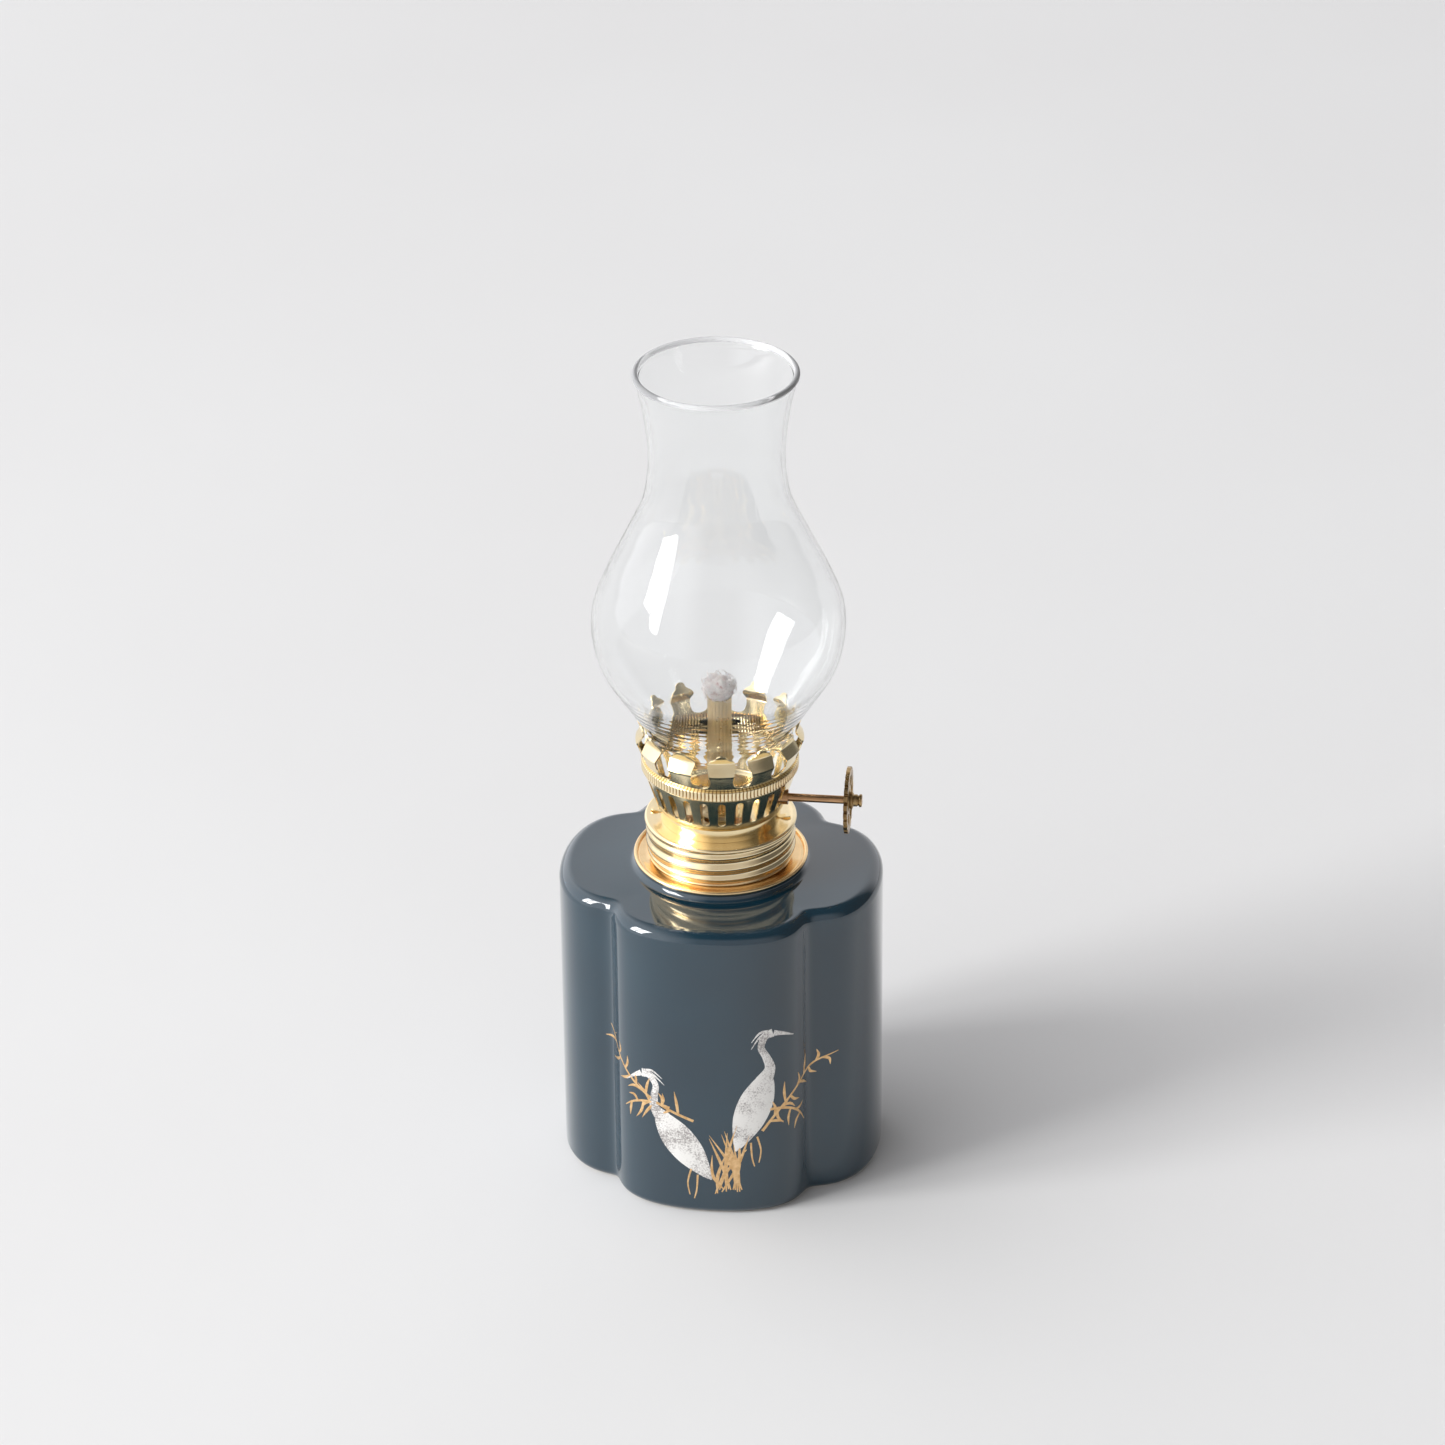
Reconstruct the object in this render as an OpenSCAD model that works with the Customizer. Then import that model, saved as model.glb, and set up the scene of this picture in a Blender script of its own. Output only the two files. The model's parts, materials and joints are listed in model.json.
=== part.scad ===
// Small table oil lamp: a glazed four-lobed ceramic font, a brass screw burner
// with a twelve-pronged crown, a round wick with its winder, and a bulb chimney.
// Millimetres, +Z up, decorated front towards -Y.
// The origin is the centre of the foot, on the surface that the lamp stands on.

/* [Font] */
// Width across the two side lobes
font_w = 80; // [77:0.5:83]
// Depth across the front and back lobes
font_d = 73.8; // [71:0.2:76]
// Squareness of the outline: 2 is an ellipse, more fills out its corners
lobe_power = 2.2; // [2.1:0.02:2.3]
// Depth of the creases between the lobes
crease_depth = 5.2; // [4:0.1:5.6]
// Height of the straight wall, below the rounded top edge
wall_h = 76.8; // [66:0.2:86]
// Radius of the rounded top edge
edge_r = 3.2; // [2.5:0.1:4]
// Radius of the rounded foot edge
foot_r = 2.2; // [1.5:0.1:3]
// Thickness of the ceramic wall
wall_t = 3.6; // [3:0.1:4.5]

/* [Collar and cap] */
// Outer radius of the collar's upturned rim
dish_r = 21.5; // [21:0.1:22]
// Mean radius of the male thread on the collar
thread_r = 17.1; // [16.8:0.1:17.3]
// Rise of the rolled thread for one turn
pitch = 3.2; // [3:0.1:3.6]
// Depth of the rolled thread, from its mean radius to its crest
crest = 0.3; // [0.26:0.02:0.34]
// Height of the burner cap's top face above the neck
cap_h = 11.4; // [11:0.1:12]
// Outer radius of the burner cap's top face
cap_r = 18.7; // [18.5:0.1:19]

/* [Burner] */
// Number of air slots round the basket
slot_count = 26; // [20:2:28]
// Number of prongs round the crown
prong_count = 12; // [10:2:12]
// Turn of the slots and prongs about the axis, against the winder shaft
pattern_turn = 8; // [0:1:15]
// Radius of the drum under the slotted basket
drum_r = 14.3; // [14:0.1:14.8]
// Radius of the knurled band
band_r = 19.3; // [19.2:0.05:19.5]
// Outer radius of the wick tube
tube_r = 3; // [2.95:0.05:3.05]
// Thickness of the pressed brass sheet
sheet = 0.4; // [0.35:0.05:0.45]

/* [Winder] */
// Distance from the lamp's axis to the winder shaft's axis
shaft_off = 5; // [4.95:0.05:5.1]
// Radius of the winder shaft
shaft_r = 1; // [0.9:0.05:1.05]
// Radius of the thumbwheel
thumb_r = 8.2; // [7:0.1:9]
// Distance from the lamp's axis to the middle of the thumbwheel
thumb_x = 31.9; // [28:0.1:34]

/* [Chimney] */
// Greatest outer radius of the glass bulb
bulb_r = 30.5; // [29:0.1:32]
// Outer radius of the glass at its narrow throat
throat_r = 16.4; // [16:0.1:17.4]
// Thickness of the glass
glass_t = 1.2; // [1:0.1:1.4]
// Height of the chimney from its seat to its rim
chimney_h = 104.5; // [98:0.5:108]

/* [Hidden] */

$fn = 96;

// Font
font_sides = 96;                   // corners in the font's outline
crease_a = 46;                     // direction of a crease, from the nearest of front and back
crease_w = 7.5;                    // how far a crease spreads to each side, in degrees
crease_round = 0.8;                // softness of a crease's bottom
crowding = 0.5;                    // how much closer the corners stand at the creases
face_rise = 0.4;                   // rise of the top face from its edge to the neck
neck_fillet = 1.6;                 // radius of the hollow at the foot of the neck
neck_r = 20.9;                     // outer radius of the neck
bore_r = 17;                       // radius of the neck's bore
floor_t = 4;                       // thickness of the font's floor
cavity_r = 5;                      // rounding of the cavity's corners
foot_w = 4.5;                      // width of the unglazed foot ring
foot_recess = 1;                   // height of the hollow under the foot
face_z = wall_h + edge_r + face_rise;
neck_z = face_z + neck_fillet;     // top of the neck: the collar sits here

// Collar and cap
collar_t = 0.55;                   // thickness of the collar's sheet
skirt_r = 15.8;                    // outer radius of the collar's skirt in the bore
skirt_len = 5;                     // depth of that skirt below the neck's top
thread_gap = 0.5;                  // radial clearance between the two threads
thread_steps = 6;                  // rings for each turn of the thread
thread_sides = 48;                 // corners in each ring of the thread
thread_fade = 0.8;                 // height over which a thread runs out at its ends
cap_gap = 2;                       // height of the cap's lower edge above the neck
cap_z = neck_z + cap_h;            // top face of the cap
cap_t = 0.6;                       // thickness of the cap's top plate
cap_wall = 0.5;                    // thickness of the cap's threaded wall
washer_t = 1.1;                    // thickness of the sealing washer
fit_gap = 0.02;                    // gap that keeps touching pieces apart
sleeve_low = neck_z + collar_t + fit_gap;
sleeve_top = cap_z - cap_t - washer_t - 0.05;

// Burner
drum_z = cap_z + 4.1;              // where the drum opens out into the basket
basket_z = drum_z + 9.8;           // upper edge of the basket
basket_low_r = drum_r + 1.1;       // radius of the basket just above the drum
basket_high_r = band_r - 0.8;      // radius of the basket under the band
slot_w = 1.8;                      // width of an air slot
slot_low = drum_z + 1.5;
slot_high = drum_z + 8.9;
shaft_slot = 5;                    // the slot that gives way to the shaft's bushing
band_h = 2.5;                      // height of the knurled band
band_t = 1;                        // thickness of the knurled band
knurl_count = 128;                 // ridges round the band
knurl_depth = 0.18;
seat_z = basket_z + 1.2;           // face that the chimney stands on
crown_low = basket_z + band_h;     // where the crown leaves the band
crease_z = crown_low + 5;          // height of the crown's widest crease
waist_z = crown_low + 7.7;         // height of the crown's waist
tip_z = crown_low + 10.5;          // height of the prongs' tips
crease_out = band_r + 0.8;
waist_out = band_r - 0.8;
tip_out = band_r + 0.4;
tube_top = crown_low + 16;         // mouth of the wick tube
tube_low = cap_z - 13;             // lower end of the wick tube
tube_wall = 0.45;
flute_count = 20;                  // flutes round the wick tube
flute_depth = 0.14;

// Winder
shaft_z = drum_z + 4.2;            // height of the winder shaft
run_gap = 0.05;                    // radial clearance round the shaft
bushing_r = shaft_r + 0.8;
bushing_x = 15.7;                  // where the shaft passes the basket's wall
fork_x = 4.3;                      // distance from the axis to each bracket upright
rivet_x = fork_x + 2.2;            // distance from the axis to each rivet of the bracket
rivet_r = 0.6;
spur_x = 1.1;                      // distance from the axis to each spur wheel
spur_teeth = 9;
hub_x = 35.3;                      // outer end of the shaft

// Wick
wick_r = tube_r - tube_wall - 0.1;
wick_low = floor_t + 6;            // the wick ends this high, clear of the floor
tuft_r = 4.4;
tuft_h = 5.6;

// Chimney
glass_foot_r = 17.7;               // outer radius of the glass between the prongs
rim_bead = 0.75;                   // radius of the bead round the rim

// ---- outlines and skins ----

// Radius of the four-lobed outline in direction a, measured from the front lobe
function lobed_r(a) =
  let(across = abs(sin(a)), along = abs(cos(a)),
      full = pow(pow(2 * across / font_w, lobe_power) + pow(2 * along / font_d, lobe_power), -1 / lobe_power),
      off = (atan2(across, along) - crease_a) / crease_w)
  full - crease_depth * exp(crease_round - sqrt(off * off + crease_round * crease_round));

// Ring at height z, drawn in by inset and blended by round towards a circle of radius c
function lobed_ring(z, inset, round = 0, c = 0) =
  [for (i = [0:font_sides - 1])
    let(even = 360 * i / font_sides,
        a = even + crowding / 4 * sin(4 * even) * 180 / PI,
        r = (1 - round) * (lobed_r(a) - inset) + round * c)
    [r * sin(a), -r * cos(a), z]];

// Closed skin through a stack of equal rings, with flat ends
module skin(rings) {
  n = len(rings[0]);
  m = len(rings);
  polyhedron(
    points = [for (ring = rings) each ring],
    faces = concat(
      [[for (j = [0:n - 1]) j]],
      [[for (j = [n - 1:-1:0]) (m - 1) * n + j]],
      [for (i = [0:m - 2], j = [0:n - 1])
        [i * n + j, (i + 1) * n + j, (i + 1) * n + (j + 1) % n, i * n + (j + 1) % n]]));
}

// Skin through a closed loop of rings, such as a rolled tube's outside and inside
module loop_skin(rings) {
  n = len(rings[0]);
  m = len(rings);
  polyhedron(
    points = [for (ring = rings) each ring],
    faces = [for (i = [0:m - 1], j = [0:n - 1])
      let(k = (i + 1) % m)
      [i * n + j, k * n + j, k * n + (j + 1) % n, i * n + (j + 1) % n]]);
}

// Tube of thickness t with a thread of radius r rolled into both faces, plain at its ends
module rolled_thread(r, t, low, high) {
  steps = ceil((high - low) / pitch * thread_steps);
  function height(k) = low + (high - low) * k / steps;
  function depth(z) = crest * min(1, (z - low) / thread_fade, (high - z) / thread_fade);
  function ring(base, z) =
    [for (j = [0:thread_sides - 1])
      let(a = 360 * j / thread_sides,
          q = base + depth(z) * cos(360 * (z - neck_z) / pitch - a))
      [q * cos(a), q * sin(a), z]];
  loop_skin(concat(
    [for (k = [0:steps]) ring(r, height(k))],
    [for (k = [steps:-1:0]) ring(r - t, height(k))]));
}

// Smooth curve through the points p, with n steps between each pair
function curve_point(a, b, c, d, t) =
  0.5 * (2 * b + (c - a) * t + (2 * a - 5 * b + 4 * c - d) * t * t
    + (3 * b - a - 3 * c + d) * t * t * t);
function smooth_curve(p, n) =
  let(m = len(p))
  concat([for (i = [0:m - 2], k = [0:n - 1])
    curve_point(p[max(i - 1, 0)], p[i], p[i + 1], p[min(i + 2, m - 1)], k / n)],
    [p[m - 1]]);

// Upright slot outline of width w, from height low to height high, with round ends
function slot_outline(w, low, high) =
  concat(
    [for (a = [180:22.5:360]) [w / 2 * cos(a), low + w / 2 + w / 2 * sin(a)]],
    [for (a = [0:22.5:180]) [w / 2 * cos(a), high - w / 2 + w / 2 * sin(a)]]);

// Cuts the outline, drawn in width and height, outwards through a wall at direction a
module radial_cut(a, outline) {
  rotate([0, 0, a])
    rotate([90, 0, 0])
      linear_extrude(height = 30)
        polygon(outline);
}

// Solid on the winder shaft's axis, with its local +Z along the lamp's +X, starting at x
module on_shaft(x) {
  translate([x, -shaft_off, shaft_z])
    rotate([90, 0, 90])
      children();
}

// ---- font ----

// One skin: the foot's recess, the outside, the neck, its bore and the cavity
module font_shell() {
  top = wall_h + edge_r - wall_t;
  color([0.08, 0.23, 0.32])
    skin(concat(
      [for (z = [foot_recess, 0]) lobed_ring(z, foot_r + foot_w)],
      [for (a = [0:22.5:90]) lobed_ring(foot_r * (1 - cos(a)), foot_r * (1 - sin(a)))],
      [for (a = [0:15:90]) lobed_ring(wall_h + edge_r * sin(a), edge_r * (1 - cos(a)))],
      [for (t = [0.25:0.25:1])
        lobed_ring(wall_h + edge_r + face_rise * t * t, edge_r * (1 - t), t, neck_r + neck_fillet)],
      [for (a = [22.5:22.5:90])
        lobed_ring(face_z + neck_fillet * (1 - cos(a)), 0, 1, neck_r + neck_fillet * (1 - sin(a)))],
      [for (z = [neck_z, top]) lobed_ring(z, 0, 1, bore_r)],
      [for (a = [90:-30:0]) lobed_ring(top - cavity_r * (1 - sin(a)), wall_t + cavity_r * (1 - cos(a)))],
      [for (a = [90:-30:0]) lobed_ring(floor_t + cavity_r * (1 - cos(a)), wall_t + cavity_r * (1 - sin(a)))]));
}

// Dished flange with a rolled rim and a skirt in the bore
module font_collar() {
  rim = 0.55;
  color([0.85, 0.65, 0.3])
    rotate_extrude()
      polygon(concat(
        [[skirt_r - collar_t, neck_z - skirt_len], [skirt_r, neck_z - skirt_len],
          [skirt_r, neck_z], [dish_r - 1.4, neck_z]],
        [for (a = [-60:30:150]) [dish_r - rim + rim * cos(a), neck_z + 0.75 + rim * sin(a)]],
        [[dish_r - 1.5, neck_z + collar_t], [skirt_r - collar_t, neck_z + collar_t]]));
}

// Sleeve on the flange with the male thread rolled into it
module collar_sleeve() {
  color([0.88, 0.68, 0.33])
    rolled_thread(thread_r, collar_t, sleeve_low, sleeve_top);
}

// Plaster ring that holds the collar's skirt in the neck
module collar_cement() {
  color([0.8, 0.78, 0.72])
    translate([0, 0, neck_z - skirt_len + 0.5])
      difference() {
        cylinder(h = skirt_len - 0.6, r = bore_r - fit_gap);
        translate([0, 0, -1])
          cylinder(h = skirt_len + 1, r = skirt_r + fit_gap);
      }
}

// ---- burner ----

module cap_washer() {
  color([0.55, 0.4, 0.25])
    translate([0, 0, cap_z - cap_t - washer_t])
      difference() {
        cylinder(h = washer_t - fit_gap, r = 16.9);
        translate([0, 0, -1])
          cylinder(h = 3, r = 15.4);
      }
}

// Top plate of the screw cap, with a rounded edge and a lanced notch beside each tab
module burner_cap() {
  edge = cap_t / 2;
  color([0.93, 0.76, 0.42])
    difference() {
      rotate_extrude()
        polygon(concat(
          [[tube_r + fit_gap, cap_z - cap_t]],
          [for (a = [-90:30:90]) [cap_r - edge + edge * cos(a), cap_z - edge + edge * sin(a)]],
          [[tube_r + fit_gap, cap_z]]));
      for (side = [0, 180])
        rotate([0, 0, side])
          translate([16.2, 1, cap_z - 2])
            cube([1.2, 1, 4]);
    }
}

// Skirt of the screw cap, with the female thread rolled into it
module cap_skirt() {
  color([0.9, 0.72, 0.38])
    rolled_thread(thread_r + thread_gap + cap_wall, cap_wall, neck_z + cap_gap, cap_z - cap_t - fit_gap);
}

// Drum and flared basket of one pressed sheet, with air slots and two bent tabs
module burner_basket() {
  outside = [[drum_r, cap_z], [drum_r, drum_z - 0.7], [basket_low_r, drum_z + 0.1], [basket_high_r, basket_z]];
  color([0.9, 0.72, 0.36])
    difference() {
      union() {
        rotate_extrude()
          polygon(concat(outside,
            [for (k = [len(outside) - 1:-1:0]) [outside[k][0] - sheet, outside[k][1]]]));
        for (side = [0, 180])
          rotate([0, 0, side])
            translate([drum_r - 0.2, -0.8, cap_z])
              cube([3, 1.6, sheet]);
      }
      for (k = [0:slot_count - 1])
        if (k != shaft_slot) radial_cut(pattern_turn + k * 360 / slot_count, slot_outline(slot_w, slot_low, slot_high));
      on_shaft(bushing_x - 5)
        cylinder(h = 12, r = bushing_r + fit_gap);
    }
}

// Knurled band that clamps the basket, the seat and the crown together
module knurled_band() {
  ridge = 360 / knurl_count;
  color([0.95, 0.8, 0.48])
    translate([0, 0, basket_z])
      linear_extrude(height = band_h)
        difference() {
          polygon([for (k = [0:knurl_count - 1], s = [0, 0.5])
            let(r = band_r - (s == 0 ? 0 : knurl_depth), a = (k + s) * ridge)
            [r * cos(a), r * sin(a)]]);
          circle(r = band_r - band_t);
        }
}

// Half of the gap between two prongs, from its round foot to above the tips
prong_gap = [[0, 1.1], [1.2, 1.45], [2.05, 2.2], [2.35, 3.2], [2.3, 4.3], [2, 5.6],
  [1.6, 6.8], [1.5, 7.5], [1.75, 8.2], [2.4, 8.75], [3.1, 9.1], [3.55, 9.45], [3.8, 9.9], [4.3, 10.3], [5.2, 10.55]];
function gap_side(s) = [for (p = prong_gap) [s * p[0], crown_low + p[1]]];
function gap_outline() =
  concat(gap_side(1), [[5.2, tip_z + 2], [-5.2, tip_z + 2]],
    [for (k = [len(prong_gap) - 1:-1:1]) gap_side(-1)[k]]);

// Crown of sprung prongs: two facets, a waist that grips the glass, and flared tips
module prong_crown() {
  foot_out = band_r - band_t - fit_gap;
  outside = [[foot_out, seat_z + 0.1], [foot_out, crown_low + 0.05],
    [crease_out, crease_z], [waist_out, waist_z], [tip_out, tip_z]];
  color([0.95, 0.78, 0.42])
    difference() {
      rotate_extrude()
        polygon(concat(outside,
          [for (k = [len(outside) - 1:-1:0]) [outside[k][0] - sheet, outside[k][1]]]));
      for (k = [0:prong_count - 1])
        radial_cut(pattern_turn + (k + 0.5) * 360 / prong_count, gap_outline());
    }
}

// Ledge inside the band for the foot of the glass, with a lip turned down
module chimney_seat() {
  color([0.95, 0.8, 0.45])
    rotate_extrude()
      polygon([[15.6, seat_z - 1.4], [16, seat_z - 1.4], [16, seat_z - sheet],
        [band_r - band_t - fit_gap, seat_z - sheet], [band_r - band_t - fit_gap, seat_z], [15.6, seat_z]]);
}

// Fluted tube that guides the wick, with a window for the spur wheels
module wick_tube() {
  step = 360 / flute_count;
  color([0.88, 0.74, 0.45])
    difference() {
      translate([0, 0, tube_low])
        linear_extrude(height = tube_top - tube_low)
          difference() {
            polygon([for (k = [0:flute_count - 1], s = [0, 0.3, 0.5, 0.8])
              let(r = tube_r - (s < 0.4 ? 0 : flute_depth), a = (k + s) * step)
              [r * cos(a), r * sin(a)]]);
            circle(r = tube_r - tube_wall);
          }
      translate([-2, -tube_r - 1, shaft_z - 2.6])
        cube([4, 1.6, 5.2]);
    }
}

module tube_flange() {
  color([0.85, 0.65, 0.3])
    translate([0, 0, cap_z])
      rotate_extrude()
        polygon([[tube_r + fit_gap, 0], [4.7, 0], [4.7, 0.5], [3.9, 0.9], [tube_r + fit_gap, 0.9]]);
}

// Fork of bent strip on the cap, with a bearing hole in each upright
module shaft_bracket() {
  strip = 4.4;
  strip_t = 0.6;
  foot = 3.7;
  color([0.8, 0.6, 0.28])
    difference() {
      union() {
        for (side = [-1, 1]) {
          translate([side * fork_x - strip_t / 2, -shaft_off - strip / 2, cap_z])
            cube([strip_t, strip, shaft_z - cap_z]);
          on_shaft(side * fork_x - strip_t / 2)
            cylinder(h = strip_t, r = strip / 2);
          translate([side > 0 ? fork_x : -fork_x - foot, -shaft_off - strip / 2, cap_z])
            cube([foot, strip, strip_t]);
        }
      }
      on_shaft(-fork_x - 2)
        cylinder(h = 2 * fork_x + 4, r = shaft_r + run_gap);
      for (side = [-1, 1])
        translate([side * rivet_x, -shaft_off, cap_z - 1])
          cylinder(h = 3, r = rivet_r + fit_gap);
    }
}

module bracket_rivets() {
  color([0.8, 0.6, 0.28])
    for (side = [-1, 1])
      translate([side * rivet_x, -shaft_off, cap_z]) {
        cylinder(h = 0.65, r = rivet_r);
        translate([0, 0, 0.62])
          cylinder(h = 0.5, r1 = 1.1, r2 = rivet_r);
      }
}

module shaft_bushing() {
  color([0.75, 0.55, 0.25])
    on_shaft(bushing_x - 1.2)
      difference() {
        cylinder(h = 2.8, r = bushing_r);
        translate([0, 0, -1])
          cylinder(h = 5, r = shaft_r + run_gap);
      }
}

// ---- winder ----

module winder_shaft() {
  color([0.6, 0.42, 0.2])
    on_shaft(-fork_x - 1.6)
      cylinder(h = hub_x + fork_x + 1.6, r = shaft_r);
}

// Toothed wheel that bites into the wick through the tube's window
module spur_wheel(x) {
  tip = shaft_off - wick_r - 0.1;
  root = shaft_r + 0.55;
  step = 360 / spur_teeth;
  color([0.6, 0.42, 0.2])
    on_shaft(x - 0.35)
      linear_extrude(height = 0.7)
        difference() {
          polygon([for (k = [0:spur_teeth - 1], q = [[0, tip], [0.2, root], [0.8, root]])
            [q[1] * cos((k + q[0]) * step), q[1] * sin((k + q[0]) * step)]]);
          circle(r = shaft_r);
        }
}

module spur_wheel_left() {
  spur_wheel(-spur_x);
}

module spur_wheel_right() {
  spur_wheel(spur_x);
}

module retaining_collar() {
  color([0.6, 0.42, 0.2])
    on_shaft(bushing_x - 2.9)
      difference() {
        cylinder(h = 1.3, r = 2);
        translate([0, 0, -1])
          cylinder(h = 4, r = shaft_r);
      }
}

// Stamped disc with a notched rim and a ring of round piercings
module thumbwheel() {
  notches = 24;
  step = 360 / notches;
  holes = 6;
  color([0.5, 0.36, 0.18])
    on_shaft(thumb_x - 0.5)
      linear_extrude(height = 1)
        difference() {
          polygon([for (k = [0:notches - 1], q = [[0, 0], [0.55, 0], [0.65, 0.55], [0.9, 0.55]])
            let(r = thumb_r - q[1], a = (k + q[0]) * step)
            [r * cos(a), r * sin(a)]]);
          circle(r = shaft_r);
          for (k = [0:holes - 1])
            rotate(k * 360 / holes)
              translate([thumb_r * 0.58, 0])
                circle(r = 1.5);
        }
}

// Riveted hub on the outer face of the thumbwheel
module thumbwheel_hub() {
  color([0.55, 0.38, 0.18])
    on_shaft(thumb_x + 0.5)
      rotate_extrude()
        polygon([[shaft_r, 0], [2.1, 0], [2.1, 0.6], [1.5, 0.9], [1.5, 1.7], [1.25, 1.9],
          [1.25, 2.1], [1.6, 2.3], [1.6, hub_x - thumb_x - 0.7], [1.3, hub_x - thumb_x - 0.5],
          [shaft_r, hub_x - thumb_x - 0.5]]);
}

// ---- wick ----

module wick() {
  color([0.9, 0.87, 0.84])
    translate([0, 0, wick_low])
      cylinder(h = tube_top + 0.05 - wick_low, r = wick_r);
}

// Frayed head of the wick, spread over the mouth of the tube
module wick_tuft() {
  color([0.88, 0.82, 0.82])
    translate([0, 0, tube_top + 0.05])
      rotate_extrude()
        polygon(concat([[0, 0]],
          [for (p = smooth_curve([[2.9, 0], [3.9, 0.9], [tuft_r, 2.6], [3.6, 4.4], [1.9, 5.3]], 3)) p],
          [[0, tuft_h]]));
}

// ---- chimney ----

// Outer profile of the glass from its foot to its rim, as radius and height above the seat
function glass_profile() =
  let(h = chimney_h / 104.5)
  concat([[glass_foot_r, 0.05]], smooth_curve([
    [glass_foot_r, 7.8 * h], [17.95, 9.9 * h], [18.9, 11.7 * h], [20.4, 13.9 * h],
    [bulb_r - 6.5, 19.4 * h], [bulb_r - 2, 27 * h], [bulb_r, 34.4 * h],
    [bulb_r - 0.2, 42.5 * h], [bulb_r - 3.6, 51.5 * h], [bulb_r - 8.4, 61.5 * h],
    [throat_r + 1.6, 70.5 * h], [throat_r + 0.3, 77.3 * h], [throat_r, 82 * h],
    [throat_r + 0.3, 88 * h], [throat_r + 1.3, 95.4 * h], [throat_r + 2.5, 101 * h],
    [throat_r + 3.3, 103.9 * h]], 4));

// Clear glass: a straight foot between the prongs, a bulb, a throat and a beaded rim
module chimney() {
  outside = glass_profile();
  last = outside[len(outside) - 1];
  color([0.9, 0.95, 0.97, 0.35])
    translate([0, 0, seat_z])
      union() {
        rotate_extrude()
          polygon(concat(outside,
            [for (k = [len(outside) - 1:-1:0]) [outside[k][0] - glass_t, outside[k][1]]]));
        rotate_extrude()
          translate([last[0] - glass_t / 2, chimney_h - rim_bead])
            circle(r = rim_bead, $fn = 24);
      }
}

font_shell();
font_collar();
collar_sleeve();
collar_cement();
cap_washer();
burner_cap();
cap_skirt();
burner_basket();
knurled_band();
prong_crown();
chimney_seat();
wick_tube();
tube_flange();
shaft_bracket();
bracket_rivets();
shaft_bushing();
winder_shaft();
spur_wheel_left();
spur_wheel_right();
retaining_collar();
thumbwheel();
thumbwheel_hub();
wick();
wick_tuft();
chimney();
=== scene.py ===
"""The looks of a small oil lamp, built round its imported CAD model.

Sizes are in millimetres, as in the CAD, and MM turns them into Blender's metres.
Heights and radii come from the CAD nodes' own boxes wherever a node has them.
"""

import json
import random
from math import asin, atan2, copysign, cos, degrees, exp, hypot, pi, radians, sin, sqrt, tan

import bmesh
import bpy
from mathutils import Matrix, Vector, noise


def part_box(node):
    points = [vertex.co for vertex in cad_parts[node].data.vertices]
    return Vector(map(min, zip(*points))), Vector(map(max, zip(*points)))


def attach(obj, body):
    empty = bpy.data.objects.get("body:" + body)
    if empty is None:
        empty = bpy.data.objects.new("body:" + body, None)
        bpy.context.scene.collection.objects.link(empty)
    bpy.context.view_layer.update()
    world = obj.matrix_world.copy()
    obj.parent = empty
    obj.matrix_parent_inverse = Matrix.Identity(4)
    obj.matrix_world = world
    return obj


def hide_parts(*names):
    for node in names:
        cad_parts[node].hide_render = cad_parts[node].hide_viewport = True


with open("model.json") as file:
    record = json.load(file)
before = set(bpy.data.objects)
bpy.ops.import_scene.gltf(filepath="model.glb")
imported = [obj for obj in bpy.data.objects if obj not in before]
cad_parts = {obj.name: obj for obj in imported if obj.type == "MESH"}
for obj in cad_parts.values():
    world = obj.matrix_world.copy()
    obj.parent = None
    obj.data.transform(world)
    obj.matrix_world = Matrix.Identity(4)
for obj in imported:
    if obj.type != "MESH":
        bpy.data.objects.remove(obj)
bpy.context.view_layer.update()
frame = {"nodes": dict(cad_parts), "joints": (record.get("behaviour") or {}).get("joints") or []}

MM = 0.001
TAU = 2 * pi


def span(node):
    """Lowest and highest corner of a CAD node, in millimetres."""
    low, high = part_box(node)
    return low / MM, high / MM


# ---- sizes taken from the frame ----

FONT_W = span("font_shell")[1].x * 2
FONT_D = span("font_shell")[1].y * 2
NECK_Z = span("font_shell")[1].z
DISH_R = span("font_collar")[1].x
CAP_Z = span("burner_cap")[1].z
CAP_R = span("burner_cap")[1].x
SLEEVE_TOP = span("collar_sleeve")[1].z
BASKET_Z, BAND_TOP = span("knurled_band")[0].z, span("knurled_band")[1].z
BAND_R = span("knurled_band")[1].x
SEAT_Z = span("chimney_seat")[1].z
SEAT_R = span("chimney_seat")[1].x
TIP_Z = span("prong_crown")[1].z
TUBE_LOW, TUBE_TOP = span("wick_tube")[0].z, span("wick_tube")[1].z
TUBE_R = span("wick_tube")[1].x
WICK_LOW, WICK_TOP = span("wick")[0].z, span("wick")[1].z
WICK_R = span("wick")[1].x
TUFT_LOW, TUFT_TOP = span("wick_tuft")[0].z, span("wick_tuft")[1].z
TUFT_R = span("wick_tuft")[1].x
SHAFT_AXIS = Vector(next(j["pos_m"] for j in frame["joints"] if j["name"] == "wick_knob")) / MM
SHAFT_R = span("winder_shaft")[1].z - SHAFT_AXIS.z
THUMB_LOW, THUMB_HIGH = span("thumbwheel")
THUMB_R = THUMB_HIGH.z - SHAFT_AXIS.z

# ---- sizes shared with the CAD that no box gives ----

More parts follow.
